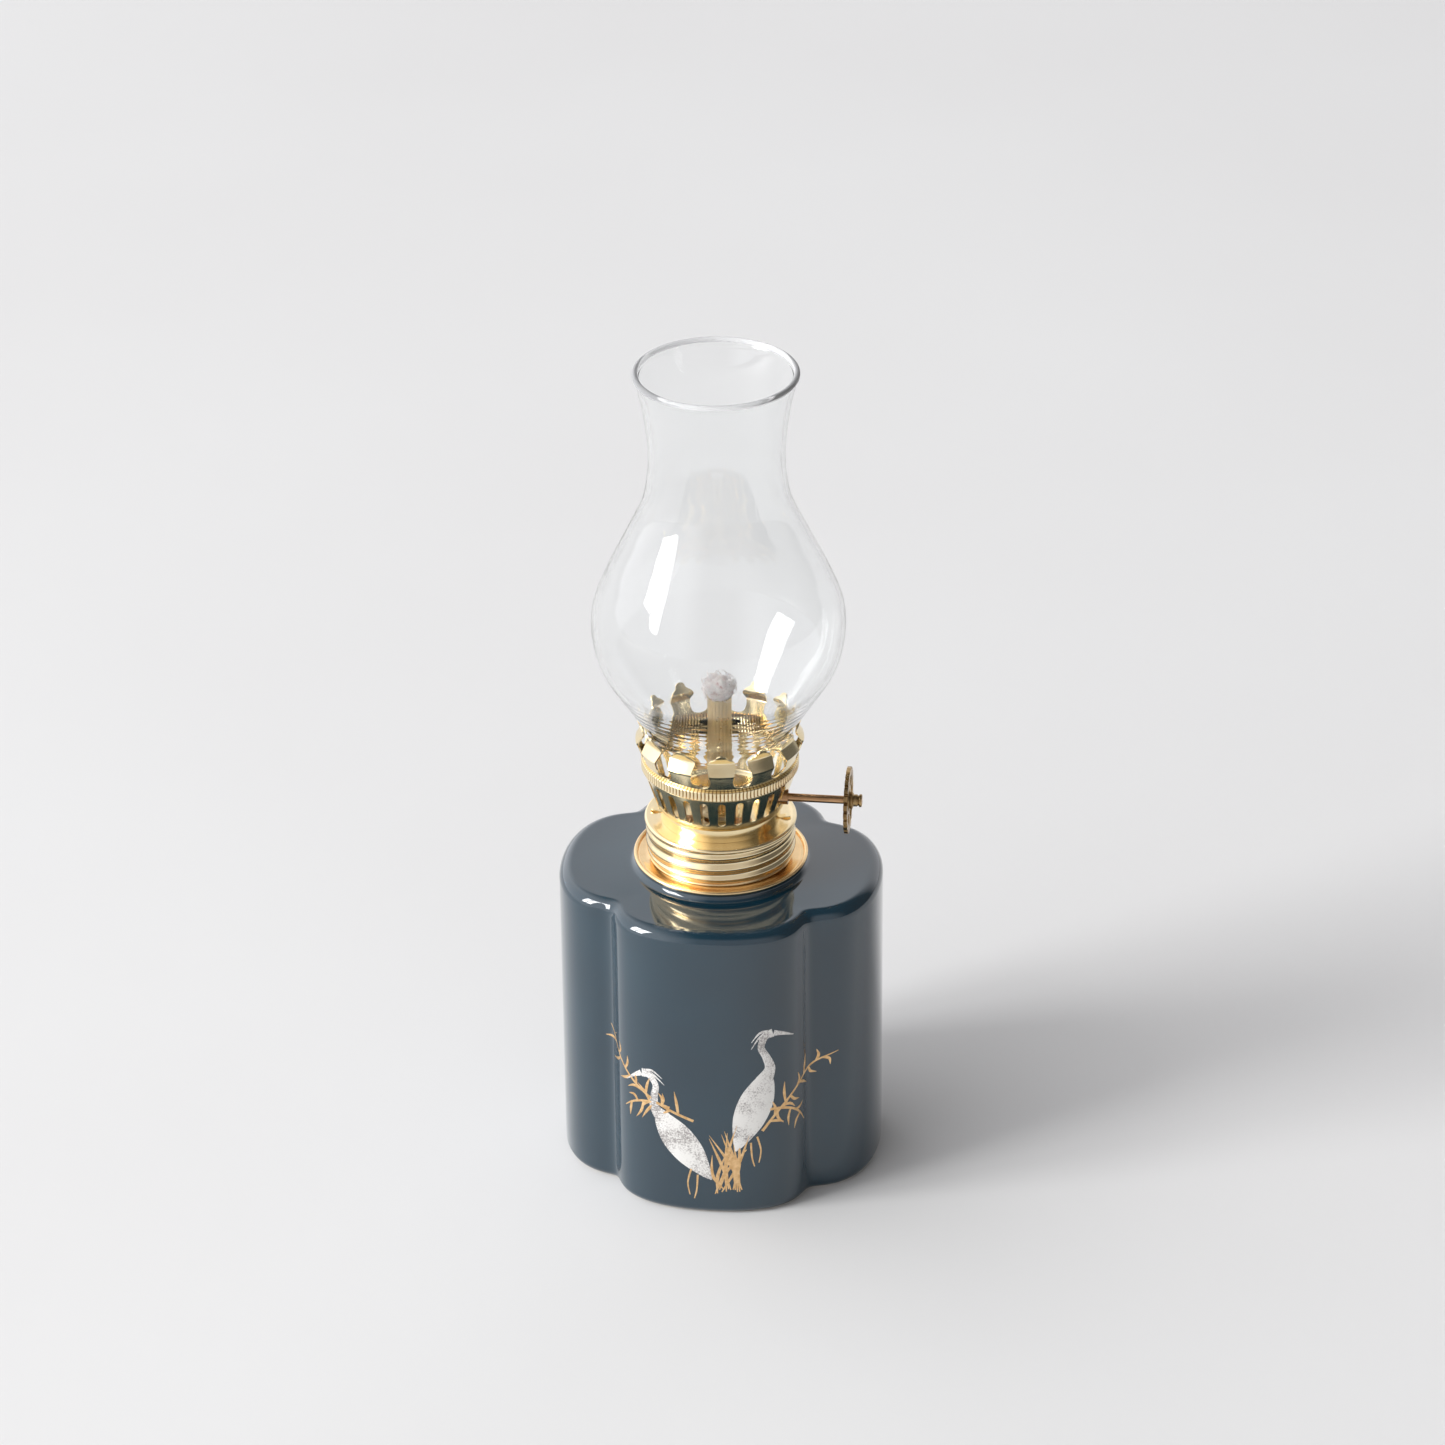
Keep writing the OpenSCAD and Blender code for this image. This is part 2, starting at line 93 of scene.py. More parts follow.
LOBE_POWER = 2.2  # squareness of the font's outline
CREASE_DEPTH = 5.2  # depth of the creases between the lobes
CREASE_A, CREASE_W, CREASE_ROUND = 46.0, 7.5, 0.8  # their direction and spread in degrees, and softness
SKIN = 0.06  # the glaze lies this far inside the CAD, which leaves room for the painting
EDGE_R = 3.2  # rounded top edge of the font
FOOT_R = 2.2  # rounded foot edge
FOOT_RING_W = 4.5
WALL_H = NECK_Z - 5.2  # top of the font's straight wall
NECK_R = 20.9
NECK_FILLET = 1.6
BORE_R = 17.0
WALL_T = 3.6
FLOOR_T = 4.0
PITCH = 3.2  # rise of the screw thread for one turn
CREST = 0.3  # height of the thread's crests
RUNOUT = 0.9  # length over which the thread dies away at its ends
THREAD_R = 17.1
SHEET = 0.4  # thickness of pressed brass
INSIDE = 0.02  # turned and cast surfaces lie this far inside the CAD's
DRUM_R = 14.3
DRUM_Z = BASKET_Z - 9.8
SLOTS = 26
SHAFT_SLOT = 5  # the slot that gives way to the shaft's bushing
KNURLS = 128
KNURL_DEPTH = 0.3
NOTCH_DEPTH = 0.62  # notches in the thumbwheel's rim
FLUTE_DEPTH = 0.14
PRONGS = 12
GLASS_FOOT_R = 17.7  # outer radius of the glass between the prongs
PATTERN_TURN = radians(8)  # turn of the slots and prongs about the axis


# ---- curves and meshes ----


def mix(a, b, t):
    return a + (b - a) * t


def polar(r, a, z):
    return (r * cos(a), r * sin(a), z)


def around(sides):
    """Equal angles once round the axis."""
    return [TAU * k / sides for k in range(sides)]


def fade(z, low, high, length):
    """Rises from 0 at low to 1 over length, and falls back to 0 at high."""
    return max(0.0, min(1.0, (z - low) / length, (high - z) / length))


def heading(points, i):
    """Unit direction of a line of points at its point i."""
    before, after = points[max(i - 1, 0)], points[min(i + 1, len(points) - 1)]
    return Vector([b - a for a, b in zip(before, after)]).normalized()


def arc(steps, start=0.0, end=90.0):
    """Angles in radians from start to end, which are in degrees."""
    return [radians(mix(start, end, k / steps)) for k in range(steps + 1)]


def round_off(r, z, radius, steps, start, end):
    """Part of a circle about (r, z), as (r, z) points."""
    return [(r + radius * cos(a), z + radius * sin(a)) for a in arc(steps, start, end)]


def smooth_curve(points, steps):
    """Catmull-Rom curve through points of any dimension, with steps between each pair."""
    last = len(points) - 1
    made = []
    for i in range(last):
        a, b, c, d = (points[min(max(i + k, 0), last)] for k in (-1, 0, 1, 2))
        for k in range(steps):
            t = k / steps
            made.append(tuple(
                0.5 * (2 * q + (r - p) * t + (2 * p - 5 * q + 4 * r - s) * t * t
                       + (3 * q - p - 3 * r + s) * t**3)
                for p, q, r, s in zip(a, b, c, d)
            ))
    return made + [tuple(points[-1])]


def rounded(corners, steps=4):
    """Closed (r, z) outline through corners (r, z, radius), each rounded by an arc."""
    made = []
    count = len(corners)
    for i, (r, z, radius) in enumerate(corners):
        here = Vector((r, z))
        before = (Vector(corners[i - 1][:2]) - here).normalized()
        after = (Vector(corners[(i + 1) % count][:2]) - here).normalized()
        half = before.angle(after) / 2
        if radius <= 0 or half > radians(89):
            made.append((r, z))
            continue
        start = here + before * (radius / tan(half))
        middle = here + (before + after).normalized() * (radius / sin(half))
        turn = pi - 2 * half
        arm = start - middle
        way = 1 if before.cross(after) < 0 else -1
        for k in range(steps + 1):
            a = way * turn * k / steps
            c, s = cos(a), sin(a)
            made.append((middle.x + arm.x * c - arm.y * s, middle.y + arm.x * s + arm.y * c))
    return made


def add_object(name, data):
    made = bpy.data.objects.new(name, data)
    bpy.context.scene.collection.objects.link(made)
    return made


def add_piece(name, verts, faces, material, body, slot, replaces=(), sharp=35):
    """A welded mesh in the row frame, from points in millimetres, riding on a CAD body."""
    mesh = bpy.data.meshes.new(name)
    mesh.from_pydata([Vector(v) * MM for v in verts], [], faces)
    work = bmesh.new()
    work.from_mesh(mesh)
    bmesh.ops.remove_doubles(work, verts=work.verts, dist=2e-6)
    bmesh.ops.dissolve_degenerate(work, edges=work.edges, dist=1e-7)
    bmesh.ops.recalc_face_normals(work, faces=work.faces)
    for face in work.faces:
        face.smooth = True
    work.to_mesh(mesh)
    work.free()
    mesh.set_sharp_from_angle(angle=radians(sharp))
    mesh.materials.append(material)
    piece = add_object(name, mesh)
    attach(piece, body)
    if replaces:
        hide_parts(*replaces)
    return piece


def skin(rings, closed=False, wrap=True):
    """Quads through a stack of equal rings; closed joins the last ring to the first."""
    count = len(rings[0])
    verts = [p for ring in rings for p in ring]
    faces = []
    for i in range(len(rings) if closed else len(rings) - 1):
        j = (i + 1) % len(rings)
        for k in range(count if wrap else count - 1):
            m = (k + 1) % count
            faces.append((i * count + k, i * count + m, j * count + m, j * count + k))
    return verts, faces


def capped(rings):
    """Quads through a stack of equal rings, with one face over each end."""
    verts, faces = skin(rings)
    count, last = len(rings[0]), len(verts) - 1
    return verts, faces + [tuple(range(count)), tuple(range(last, last - count, -1))]


def turned(profile, sides=192, closed=True):
    """Mesh of the (r, z) profile turned about the lamp's axis."""
    return skin([[polar(r, a, z) for a in around(sides)] for r, z in profile], closed)


def on_shaft(verts, faces=()):
    """Moves a mesh made about +Z so that +Z runs along the winder shaft's axis."""
    return [(z, x + SHAFT_AXIS.y, y + SHAFT_AXIS.z) for x, y, z in verts], faces


def merged(*meshes):
    verts, faces = [], []
    for v, f in meshes:
        base = len(verts)
        verts += v
        faces += [tuple(i + base for i in face) for face in f]
    return verts, faces


def bevelled(piece, name, width, least_angle):
    edge = piece.modifiers.new(name, "BEVEL")
    edge.width = width * MM
    edge.segments = 2
    edge.limit_method = "ANGLE"
    edge.angle_limit = radians(least_angle)
    edge.harden_normals = True
    return piece


def thicken(piece, thickness, bevel):
    """Gives a sheet its thickness, inwards, and rounds its cut edges."""
    solid = piece.modifiers.new("sheet", "SOLIDIFY")
    solid.thickness = thickness * MM
    solid.offset = -1
    solid.use_even_offset = True
    return bevelled(piece, "cut_edges", bevel, 60)


def soften(piece, width):
    """Rounds a CAD node's or piece's hard edges a little."""
    return bevelled(piece, "soft_edges", width, 40)


# ---- materials ----


def plug(socket, value):
    """Gives a node's input a plain value or another node's output."""
    if isinstance(value, bpy.types.NodeSocket):
        socket.id_data.links.new(value, socket)
    else:
        socket.default_value = value


def feed(node, **inputs):
    """Plugs in values by the inputs' names, with _ for a space."""
    for key, value in inputs.items():
        plug(node.inputs[key.replace("_", " ")], value)
    return node


def new_material(name, **values):
    """A material with one Principled shader, its plain values set on the shader itself."""
    material = bpy.data.materials.new(name)
    material.use_nodes = True
    shader = material.node_tree.nodes["Principled BSDF"]
    return material, feed(shader, **values)


def add_node(tree, kind, **inputs):
    return feed(tree.nodes.new("ShaderNode" + kind), **inputs)


def object_coords(shader, scale=(1, 1, 1)):
    coords = add_node(shader.id_data, "TexCoord").outputs["Object"]
    return add_node(shader.id_data, "Mapping", Scale=scale, Vector=coords).outputs["Vector"]


def noise_node(vector, scale, detail=4.0, roughness=0.5, distortion=0.0):
    node = add_node(vector.id_data, "TexNoise", Vector=vector, Scale=scale, Detail=detail)
    return feed(node, Roughness=roughness, Distortion=distortion).outputs["Fac"]


def ramp_node(factor, stops):
    """A colour ramp; stops are (position, colour) with linear colours."""
    node = add_node(factor.id_data, "ValToRGB", Fac=factor)
    ramp = node.color_ramp
    while len(ramp.elements) < len(stops):
        ramp.elements.new(0.5)
    for element, (position, colour) in zip(ramp.elements, stops):
        element.position = position
        element.color = (*colour, 1)
    return node.outputs["Color"]


def range_node(factor, low, high, new_low, new_high):
    node = add_node(factor.id_data, "MapRange", Value=factor, From_Min=low, From_Max=high)
    return feed(node, To_Min=new_low, To_Max=new_high).outputs["Result"]


def math_node(operation, *values):
    """A Math node on numbers and other nodes' outputs, the first of which is an output."""
    node = add_node(values[0].id_data, "Math")
    node.operation = operation
    for socket, value in zip(node.inputs, values):
        plug(socket, value)
    return node.outputs[0]


def bump_node(height, strength, distance, normal=None):
    node = add_node(height.id_data, "Bump", Height=height, Strength=strength, Distance=distance)
    return (node if normal is None else feed(node, Normal=normal)).outputs["Normal"]


def mix_colours(factor, first, second):
    node = add_node(factor.id_data, "Mix", Factor=factor)
    node.data_type = "RGBA"
    for value, socket in ((first, node.inputs[6]), (second, node.inputs[7])):
        plug(socket, (*value, 1) if isinstance(value, tuple) else value)
    return node.outputs[2]


def brass(name, light, dark, roughness, turning=0.05):
    """Lacquered brass: two tones drifting slowly, faint turning marks and a soft waviness."""
    material, shader = new_material(name, Metallic=1.0)
    where = object_coords(shader)
    drift = noise_node(where, 90, 4, 0.55)
    feed(shader, Base_Color=ramp_node(drift, [(0.32, dark), (0.62, light)]))
    cloud = noise_node(where, 320, 6, 0.65)
    feed(shader, Roughness=range_node(cloud, 0.3, 0.75, roughness * 0.8, roughness * 1.3))
    wave = bump_node(noise_node(where, 160, 2, 0.5), 0.08, 0.0001)
    marks = noise_node(object_coords(shader, (1, 1, 12)), 420, 3, 0.6)
    feed(shader, Normal=bump_node(marks, turning, 0.00002, wave))
    return material


def painted_groove_shade(material, count):
    """Painted shade: mixes a dark brown into the brass colour in the grooves between count upright ridges
    round the axis.
    """
    shader = material.node_tree.nodes["Principled BSDF"]
    colour = shader.inputs["Base Color"].links[0].from_socket
    angle = add_node(material.node_tree, "TexGradient", Vector=object_coords(shader))
    angle.gradient_type = "RADIAL"
    part = math_node("PINGPONG", math_node("MULTIPLY", angle.outputs["Fac"], count), 0.5)
    groove = range_node(part, 0.26, 0.42, 0, 1)
    # painted shade: dark brown colour where the knurl grooves lie, standing in for the shade inside them
    feed(shader, Base_Color=mix_colours(groove, colour, (0.42, 0.27, 0.1)))
    return material


def glaze():
    """Deep teal glaze, slightly uneven, with fine pits, over a bare stoneware foot ring."""
    material, shader = new_material(
        "glazed_ceramic", IOR=1.62, Coat_Weight=0.6, Coat_Roughness=0.03, Coat_IOR=1.5
    )
    where = object_coords(shader)
    cloud = noise_node(where, 28, 4, 0.55)
    teal = ramp_node(cloud, [(0.3, (0.003, 0.021, 0.037)), (0.7, (0.005, 0.031, 0.051))])
    grain = noise_node(where, 900, 3)
    clay = ramp_node(grain, [(0.3, (0.36, 0.31, 0.26)), (0.7, (0.52, 0.47, 0.4))])
    place = add_node(shader.id_data, "SeparateXYZ", Vector=where)
    edge = math_node("MULTIPLY_ADD", noise_node(where, 240, 3), 0.0005, place.outputs["Z"])
    bare = range_node(edge, 0.0005, 0.0007, 1, 0)
    feed(shader, Base_Color=mix_colours(bare, teal, clay))
    feed(shader, Roughness=range_node(bare, 0, 1, 0.06, 0.75))
    wave = bump_node(noise_node(where, 60, 2), 0.05, 0.0004)
    pits = noise_node(where, 1500, 2)
    feed(shader, Normal=bump_node(pits, 0.03, 0.00003, wave))
    return material


def rim_painted_glow():
    """Painted light: a milky white layer over the rim bead, standing in for the light that a fire-polished
    rim gathers inside the glass.
    """
    material, shader = new_material("rim_painted_glow", Roughness=0.3, IOR=1.1, Alpha=0.35)
    painted_glow = noise_node(object_coords(shader), 60, 2)
    tones = [(0.3, (0.82, 0.83, 0.84)), (0.7, (0.95, 0.95, 0.96))]
    feed(shader, Base_Color=ramp_node(painted_glow, tones))
    return material


def clear_glass():
    """Thin blown glass with a faint waviness."""
    material, shader = new_material(
        "clear_glass", Base_Color=(0.985, 0.992, 0.992, 1), Roughness=0.0, IOR=1.46, Transmission_Weight=1.0
    )
    wave = noise_node(object_coords(shader, (1, 1, 0.4)), 45, 2, 0.5, 0.3)
    feed(shader, Normal=bump_node(wave, 0.06, 0.0006))
    return material


def cotton():
    """Raw cotton: off-white with greyish pink drift, matt and fuzzy."""
    material, shader = new_material(
        "wick_cotton", Roughness=0.95, Sheen_Weight=0.4, Sheen_Roughness=0.5, Subsurface_Weight=0.1,
        Subsurface_Radius=(0.0006, 0.0005, 0.0004),
    )
    where = object_coords(shader)
    tones = [(0.3, (0.62, 0.4, 0.36)), (0.4, (0.88, 0.8, 0.77)), (0.6, (0.97, 0.93, 0.9))]
    feed(shader, Base_Color=ramp_node(noise_node(where, 700, 4), tones))
    feed(shader, Normal=bump_node(noise_node(where, 5000, 3), 0.4, 0.00008))
    return material


def grainy(name, dark, light, scale, roughness, bump):
    """A matt, grainy stuff such as plaster or cork."""
    material, shader = new_material(name, Roughness=roughness)
    grain = noise_node(object_coords(shader), scale, 6, 0.65)
    feed(shader, Base_Color=ramp_node(grain, [(0.35, dark), (0.65, light)]))
    feed(shader, Normal=bump_node(grain, bump, 0.0001))
    return material


def enamel():
    """White overglaze, stippled grey in patches that drift at random."""
    material, shader = new_material("white_enamel", Roughness=0.35, Coat_Weight=0.3, Coat_Roughness=0.15)
    where = object_coords(shader)
    stipple = noise_node(where, 2600, 2, 0.6)
    cloud = noise_node(where, 160, 3)
    both = math_node("MULTIPLY", stipple, cloud)
    tones = [(0.2, (0.78, 0.77, 0.74)), (0.27, (0.6, 0.58, 0.56)), (0.34, (0.3, 0.28, 0.27))]
    feed(shader, Base_Color=ramp_node(both, tones))
    feed(shader, Normal=bump_node(stipple, 0.15, 0.00003))
    return material


def gold_paint():
    """Liquid gold, brushed on by hand."""
    material, shader = new_material("gold_paint", Metallic=0.85)
    where = object_coords(shader)
    brushing = noise_node(where, 900, 4, 0.6)
    tones = [(0.3, (0.62, 0.36, 0.15)), (0.7, (0.9, 0.62, 0.33))]
    feed(shader, Base_Color=ramp_node(brushing, tones))
    feed(shader, Roughness=range_node(brushing, 0.3, 0.7, 0.28, 0.45))
    feed(shader, Normal=bump_node(brushing, 0.2, 0.00003))
    return material


def paper():
    """The pale, faintly uneven surface that the lamp stands on."""
    material, shader = new_material("floor", Roughness=0.7)
    tone = noise_node(object_coords(shader), 3, 3)
    tones = [(0.3, (0.77, 0.765, 0.76)), (0.7, (0.8, 0.8, 0.795))]
    feed(shader, Base_Color=ramp_node(tone, tones))
    feed(shader, Normal=bump_node(noise_node(object_coords(shader), 60, 4), 0.03, 0.002))
    return material


GLAZE = glaze()
GLASS = clear_glass()
COTTON = cotton()
ENAMEL = enamel()
GOLD = gold_paint()
PLASTER = grainy("plaster", (0.5, 0.47, 0.42), (0.68, 0.65, 0.6), 1200, 0.9, 0.3)
CORK = grainy("cork", (0.2, 0.11, 0.05), (0.42, 0.27, 0.14), 900, 0.85, 0.5)
# painted light for the glow in the chimney's rim bead
RIM_PAINTED_GLOW = rim_painted_glow()
COLLAR_BRASS = brass("collar_brass", (0.93, 0.7, 0.4), (0.85, 0.58, 0.3), 0.2)
CAP_BRASS = brass("cap_brass", (0.94, 0.78, 0.5), (0.87, 0.7, 0.42), 0.17)
BASKET_BRASS = brass("basket_brass", (0.95, 0.8, 0.5), (0.88, 0.7, 0.4), 0.15)
# knurled brass, with painted shade in the grooves between its ridges
KNURL_BRASS = painted_groove_shade(brass("knurled_brass", (0.95, 0.81, 0.54), (0.88, 0.72, 0.44), 0.22), KNURLS)
CROWN_BRASS = brass("crown_brass", (0.96, 0.82, 0.53), (0.9, 0.73, 0.43), 0.16)
TUBE_BRASS = brass("tube_brass", (0.88, 0.75, 0.5), (0.76, 0.62, 0.38), 0.3)
WINDER_BRASS = brass("winder_brass", (0.62, 0.38, 0.2), (0.36, 0.2, 0.1), 0.2)
ANTIQUE = brass("antique_brass", (0.6, 0.42, 0.2), (0.14, 0.08, 0.03), 0.3, 0.4)


# ---- font ----


def lobed_r(a):
    """Radius of the four-lobed outline at angle a from the front lobe."""
    across, along_y = abs(sin(a)), abs(cos(a))
    full = ((2 * across / FONT_W) ** LOBE_POWER + (2 * along_y / FONT_D) ** LOBE_POWER) ** (-1 / LOBE_POWER)
    off = (degrees(atan2(across, along_y)) - CREASE_A) / CREASE_W
    return full - CREASE_DEPTH * exp(CREASE_ROUND - hypot(off, CREASE_ROUND))


def lobed_ring(sides, z, inset, blend=0.0, circle=0.0):
    """Ring at height z: the outline drawn in by inset, blended towards a circle."""
    ring = []
    for even in around(sides):
        a = even + 0.1 * sin(4 * even)
        r = mix(lobed_r(a) - SKIN - inset, circle, blend)
        ring.append((r * sin(a), -r * cos(a), z))
    return ring


def font():
    """Hollow stoneware body with its foot ring, rounded edges, neck, bore and cavity."""
    sides = 360
    recess_inset = FOOT_R + FOOT_RING_W
    recess, ring_edge = 1.0, 0.5
    face_z = NECK_Z - NECK_FILLET
    lip = 0.5
    cavity_top = WALL_H + EDGE_R - WALL_T
    corner = 5.0
    steps = [(recess, recess_inset, 1 - t, 0.0) for t in (0, 0.35, 0.7, 0.95)]
    steps += [(recess - ring_edge + ring_edge * cos(a), recess_inset - 0.4 * sin(a) - 0.1, 0, 0)
              for a in arc(3)]
    steps += [(ring_edge * (1 - sin(a)), recess_inset - 0.6 - 0.5 * (1 - cos(a)), 0, 0) for a in arc(4)]
    steps += [(FOOT_R * (1 - cos(a)), FOOT_R * (1 - sin(a)), 0, 0) for a in arc(10)]
    steps += [(mix(FOOT_R, WALL_H, k / 14), 0, 0, 0) for k in range(1, 14)]
    steps += [(WALL_H + EDGE_R * sin(a), EDGE_R * (1 - cos(a)), 0, 0) for a in arc(14)]
    rise = face_z - WALL_H - EDGE_R
    for k in range(1, 15):
        t = k / 14
        steps.append((WALL_H + EDGE_R + rise * t * t, EDGE_R * (1 - t), t, NECK_R + NECK_FILLET))
    steps += [(face_z + NECK_FILLET * (1 - cos(a)), 0, 1, NECK_R + NECK_FILLET * (1 - sin(a)))
              for a in arc(8)[1:]]
    steps += [(NECK_Z - lip + lip * sin(a), 0, 1, BORE_R + lip * (1 + cos(a)) - lip)
              for a in arc(4, 90, 180)]
    steps += [(cavity_top, 0, 1, BORE_R)]
    steps += [(cavity_top, WALL_T + corner, 1 - t, BORE_R) for t in (0.33, 0.66, 1.0)]
    steps += [(cavity_top - corner * (1 - cos(a)), WALL_T + corner * (1 - sin(a)), 0, 0) for a in arc(6)]
    steps += [(FLOOR_T + corner * (1 - sin(a)), WALL_T + corner * (1 - cos(a)), 0, 0) for a in arc(6)]
    steps += [(FLOOR_T, WALL_T + corner, t, 0.0) for t in (0.4, 0.8, 1.0)]
    rings = [lobed_ring(sides, z, inset, blend, circle) for z, inset, blend, circle in steps]
    add_piece("ceramic_font", *skin(rings), GLAZE, "font", "glazed_ceramic", ["font_shell"], 50)


# ---- painting on the font ----


class Front:
    """Turns (s, z) on the unrolled front, s to the right, into points on the glaze."""

    def __init__(self):
        self.step = radians(0.25)
        self.right = [0.0]
        for k in range(360):
            a, b = (self.corner((k + i) * self.step) for i in (0, 1))
            self.right.append(self.right[-1] + (b - a).length)

    def corner(self, a, r=0.0):
        reach = lobed_r(a) - SKIN + r
        return Vector((reach * sin(a), -reach * cos(a), 0))

    def angle(self, s):
        distance = abs(s)
        k = 0
        while k < len(self.right) - 2 and self.right[k + 1] < distance:
            k += 1
        t = (distance - self.right[k]) / (self.right[k + 1] - self.right[k])
        return copysign((k + t) * self.step, s)

    def point(self, s, z, lift):
        p = self.corner(self.angle(s), lift)
        return (p.x, p.y, z)


FRONT = Front()


def stroke(path, widths, across=4, steps=6, crown=0.035):
    """A brush stroke on the font: a strip along path, (s, z) points, with widths at them."""
    line = smooth_curve([(*p, w) for p, w in zip(path, widths)], steps)
    spine = [p[:2] for p in line]
    ts = [2 * k / across - 1 for k in range(across + 1)]
    rows = []
    for i, (s, z, width) in enumerate(line):
        way = heading(spine, i)
        side = Vector((-way.y, way.x)) * max(width, 0.02) / 2
        row = [FRONT.point(s + side.x * t, z + side.y * t, 0.01 + crown * (1 - t * t)) for t in ts]
        rows.append(row + [FRONT.point(s + side.x * t, z + side.y * t, -0.02) for t in ts[::-1]])
    return capped(rows)


def bird(x, z, way, size, lean):
    """A plain wading bird standing at (x, z), facing way (1 right, -1 left)."""

    def place(points):
        turned_points = []
        for s, h in points:
            s, h = s * size, h * size
            s, h = s * cos(lean) + h * sin(lean), h * cos(lean) - s * sin(lean)
            turned_points.append((x + way * s, z + h))
        return turned_points

    body = stroke(
        place([(-3.6, 0), (-2.7, 2.6), (-1.0, 7.5), (0.8, 12.5), (2.2, 16.6), (2.9, 18.9)]),
        [w * size for w in (0.3, 3.2, 6.8, 7.4, 5.0, 2.2)], 8, 8, 0.05,
    )
    neck = stroke(
        place([(2.2, 17.2), (3.5, 20.2), (2.6, 23.2), (1.5, 25.6), (2.3, 28.2), (4.0, 28.9)]),
        [w * size for w in (4.0, 2.4, 1.7, 1.5, 1.7, 2.1)], 6, 8, 0.045,
    )
    beak = stroke(place([(4.2, 28.8), (6.4, 28.2), (9.2, 27.0)]), [w * size for w in (1.4, 0.8, 0.15)])
    plumes = [[(3.3, 29.4), (1.2, 29.2 - k), (-0.6, 27.0 - 1.6 * k)] for k in (0, 1)]
    crest = [stroke(place(plume), [w * size for w in (0.7, 0.5, 0.1)]) for plume in plumes]
    return merged(body, neck, beak, *crest)


def legs(x, z, way, size):
    """Two thin legs under a bird, one of them bent at the knee."""
    first = [(x - way * 0.4 * size, z + 2.4 * size), (x - way * 0.1, z - 2), (x + way * 0.5, z - 4.6)]
    second = [(x + way * 1.2 * size, z + 4 * size), (x + way * 2.1, z), (x + way * 1.6, z - 3.6)]
    return merged(*(stroke(leg, [0.5, 0.4, 0.3]) for leg in (first, second)))


def reed(start, end, sag, leaves, rng):
    """An arching reed stem with narrow leaves in pairs along it."""
    a, b = Vector(start), Vector(end)
    along = b - a
    side = Vector((-along.y, along.x)).normalized()

    def spine(t):
        return a + along * t + side * (sag * 4 * t * (1 - t))

    parts = [stroke([tuple(spine(k / 5)) for k in range(6)], [0.75, 0.7, 0.65, 0.6, 0.5, 0.2])]
    for k in range(leaves):
        t = 0.12 + 0.8 * k / leaves + rng.uniform(-0.02, 0.02)
        root = spine(t)
        way = (spine(min(t + 0.1, 1)) - root).normalized()
        turn = (1 if k % 2 else -1) * rng.uniform(0.7, 1.25)
        aim = Matrix.Rotation(turn, 2) @ way
        length = rng.uniform(3.6, 7.2) * (1 - 0.35 * t)
        bend = Vector((-aim.y, aim.x)) * rng.uniform(-1.0, 1.0)
        leaf = [tuple(root), tuple(root + aim * length * 0.5 + bend), tuple(root + aim * length)]
        parts.append(stroke(leaf, [0.55, 0.75, 0.12]))
    return merged(*parts)


def grass(x, z, blades, spread, height, rng):
    """A clump of crossing blades."""
    parts = []
    for k in range(blades):
        foot = x + mix(-spread, spread, k / (blades - 1)) * 0.6
        tip = x + rng.uniform(-spread, spread)
        top = z + height * rng.uniform(0.55, 1.0)
        middle = (mix(foot, tip, 0.5) + rng.uniform(-1.4, 1.4), mix(z, top, 0.5))
        parts.append(stroke([(foot, z + rng.uniform(0, 2)), middle, (tip, top)], [0.3, 0.85, 0.12]))
    return merged(*parts)


def painting():
    """An own motif of two plain wading birds among gold reeds, low on the front lobe."""
    rng = random.Random(11)
    low_bird, high_bird = (-2.5, 9.0), (11.5, 18.5)
    birds = merged(bird(*low_bird, -1, 1.12, 0.3), bird(*high_bird, 1, 1.16, 0.02))
    add_piece("painted_birds", *birds, ENAMEL, "font", "glazed_ceramic", (), 60)
    gold = merged(
        legs(*low_bird, -1, 1.0),
        legs(*high_bird, 1, 1.0),
        reed((-3, 27), (-30, 46), 2.5, 12, rng),
        reed((-9, 30), (-22, 27), -2.0, 6, rng),
        reed((14, 24), (37, 40), 2.5, 11, rng),
        reed((16, 30), (27, 23), 2.0, 5, rng),
        grass(5.5, 5.5, 13, 5.5, 21, rng),
    )
    add_piece("painted_reeds", *gold, GOLD, "font", "glazed_ceramic", (), 60)


# ---- collar and cap ----


def threaded_ring(r, z, low, high, sides):
    """Ring at height z, on mean radius r, of a rolled thread between low and high."""
    deep = CREST * fade(z, low, high, RUNOUT)
    return [polar(r + deep * cos(TAU * (z - NECK_Z) / PITCH - a), a, z) for a in around(sides)]


def plain_rings(points, sides):
    return [threaded_ring(r, z, z, z, sides) for r, z in points]


def threaded_wall(r, low, high, sides, rows):
    return [threaded_ring(r, mix(low, high, k / rows), low, high, sides) for k in range(rows + 1)]


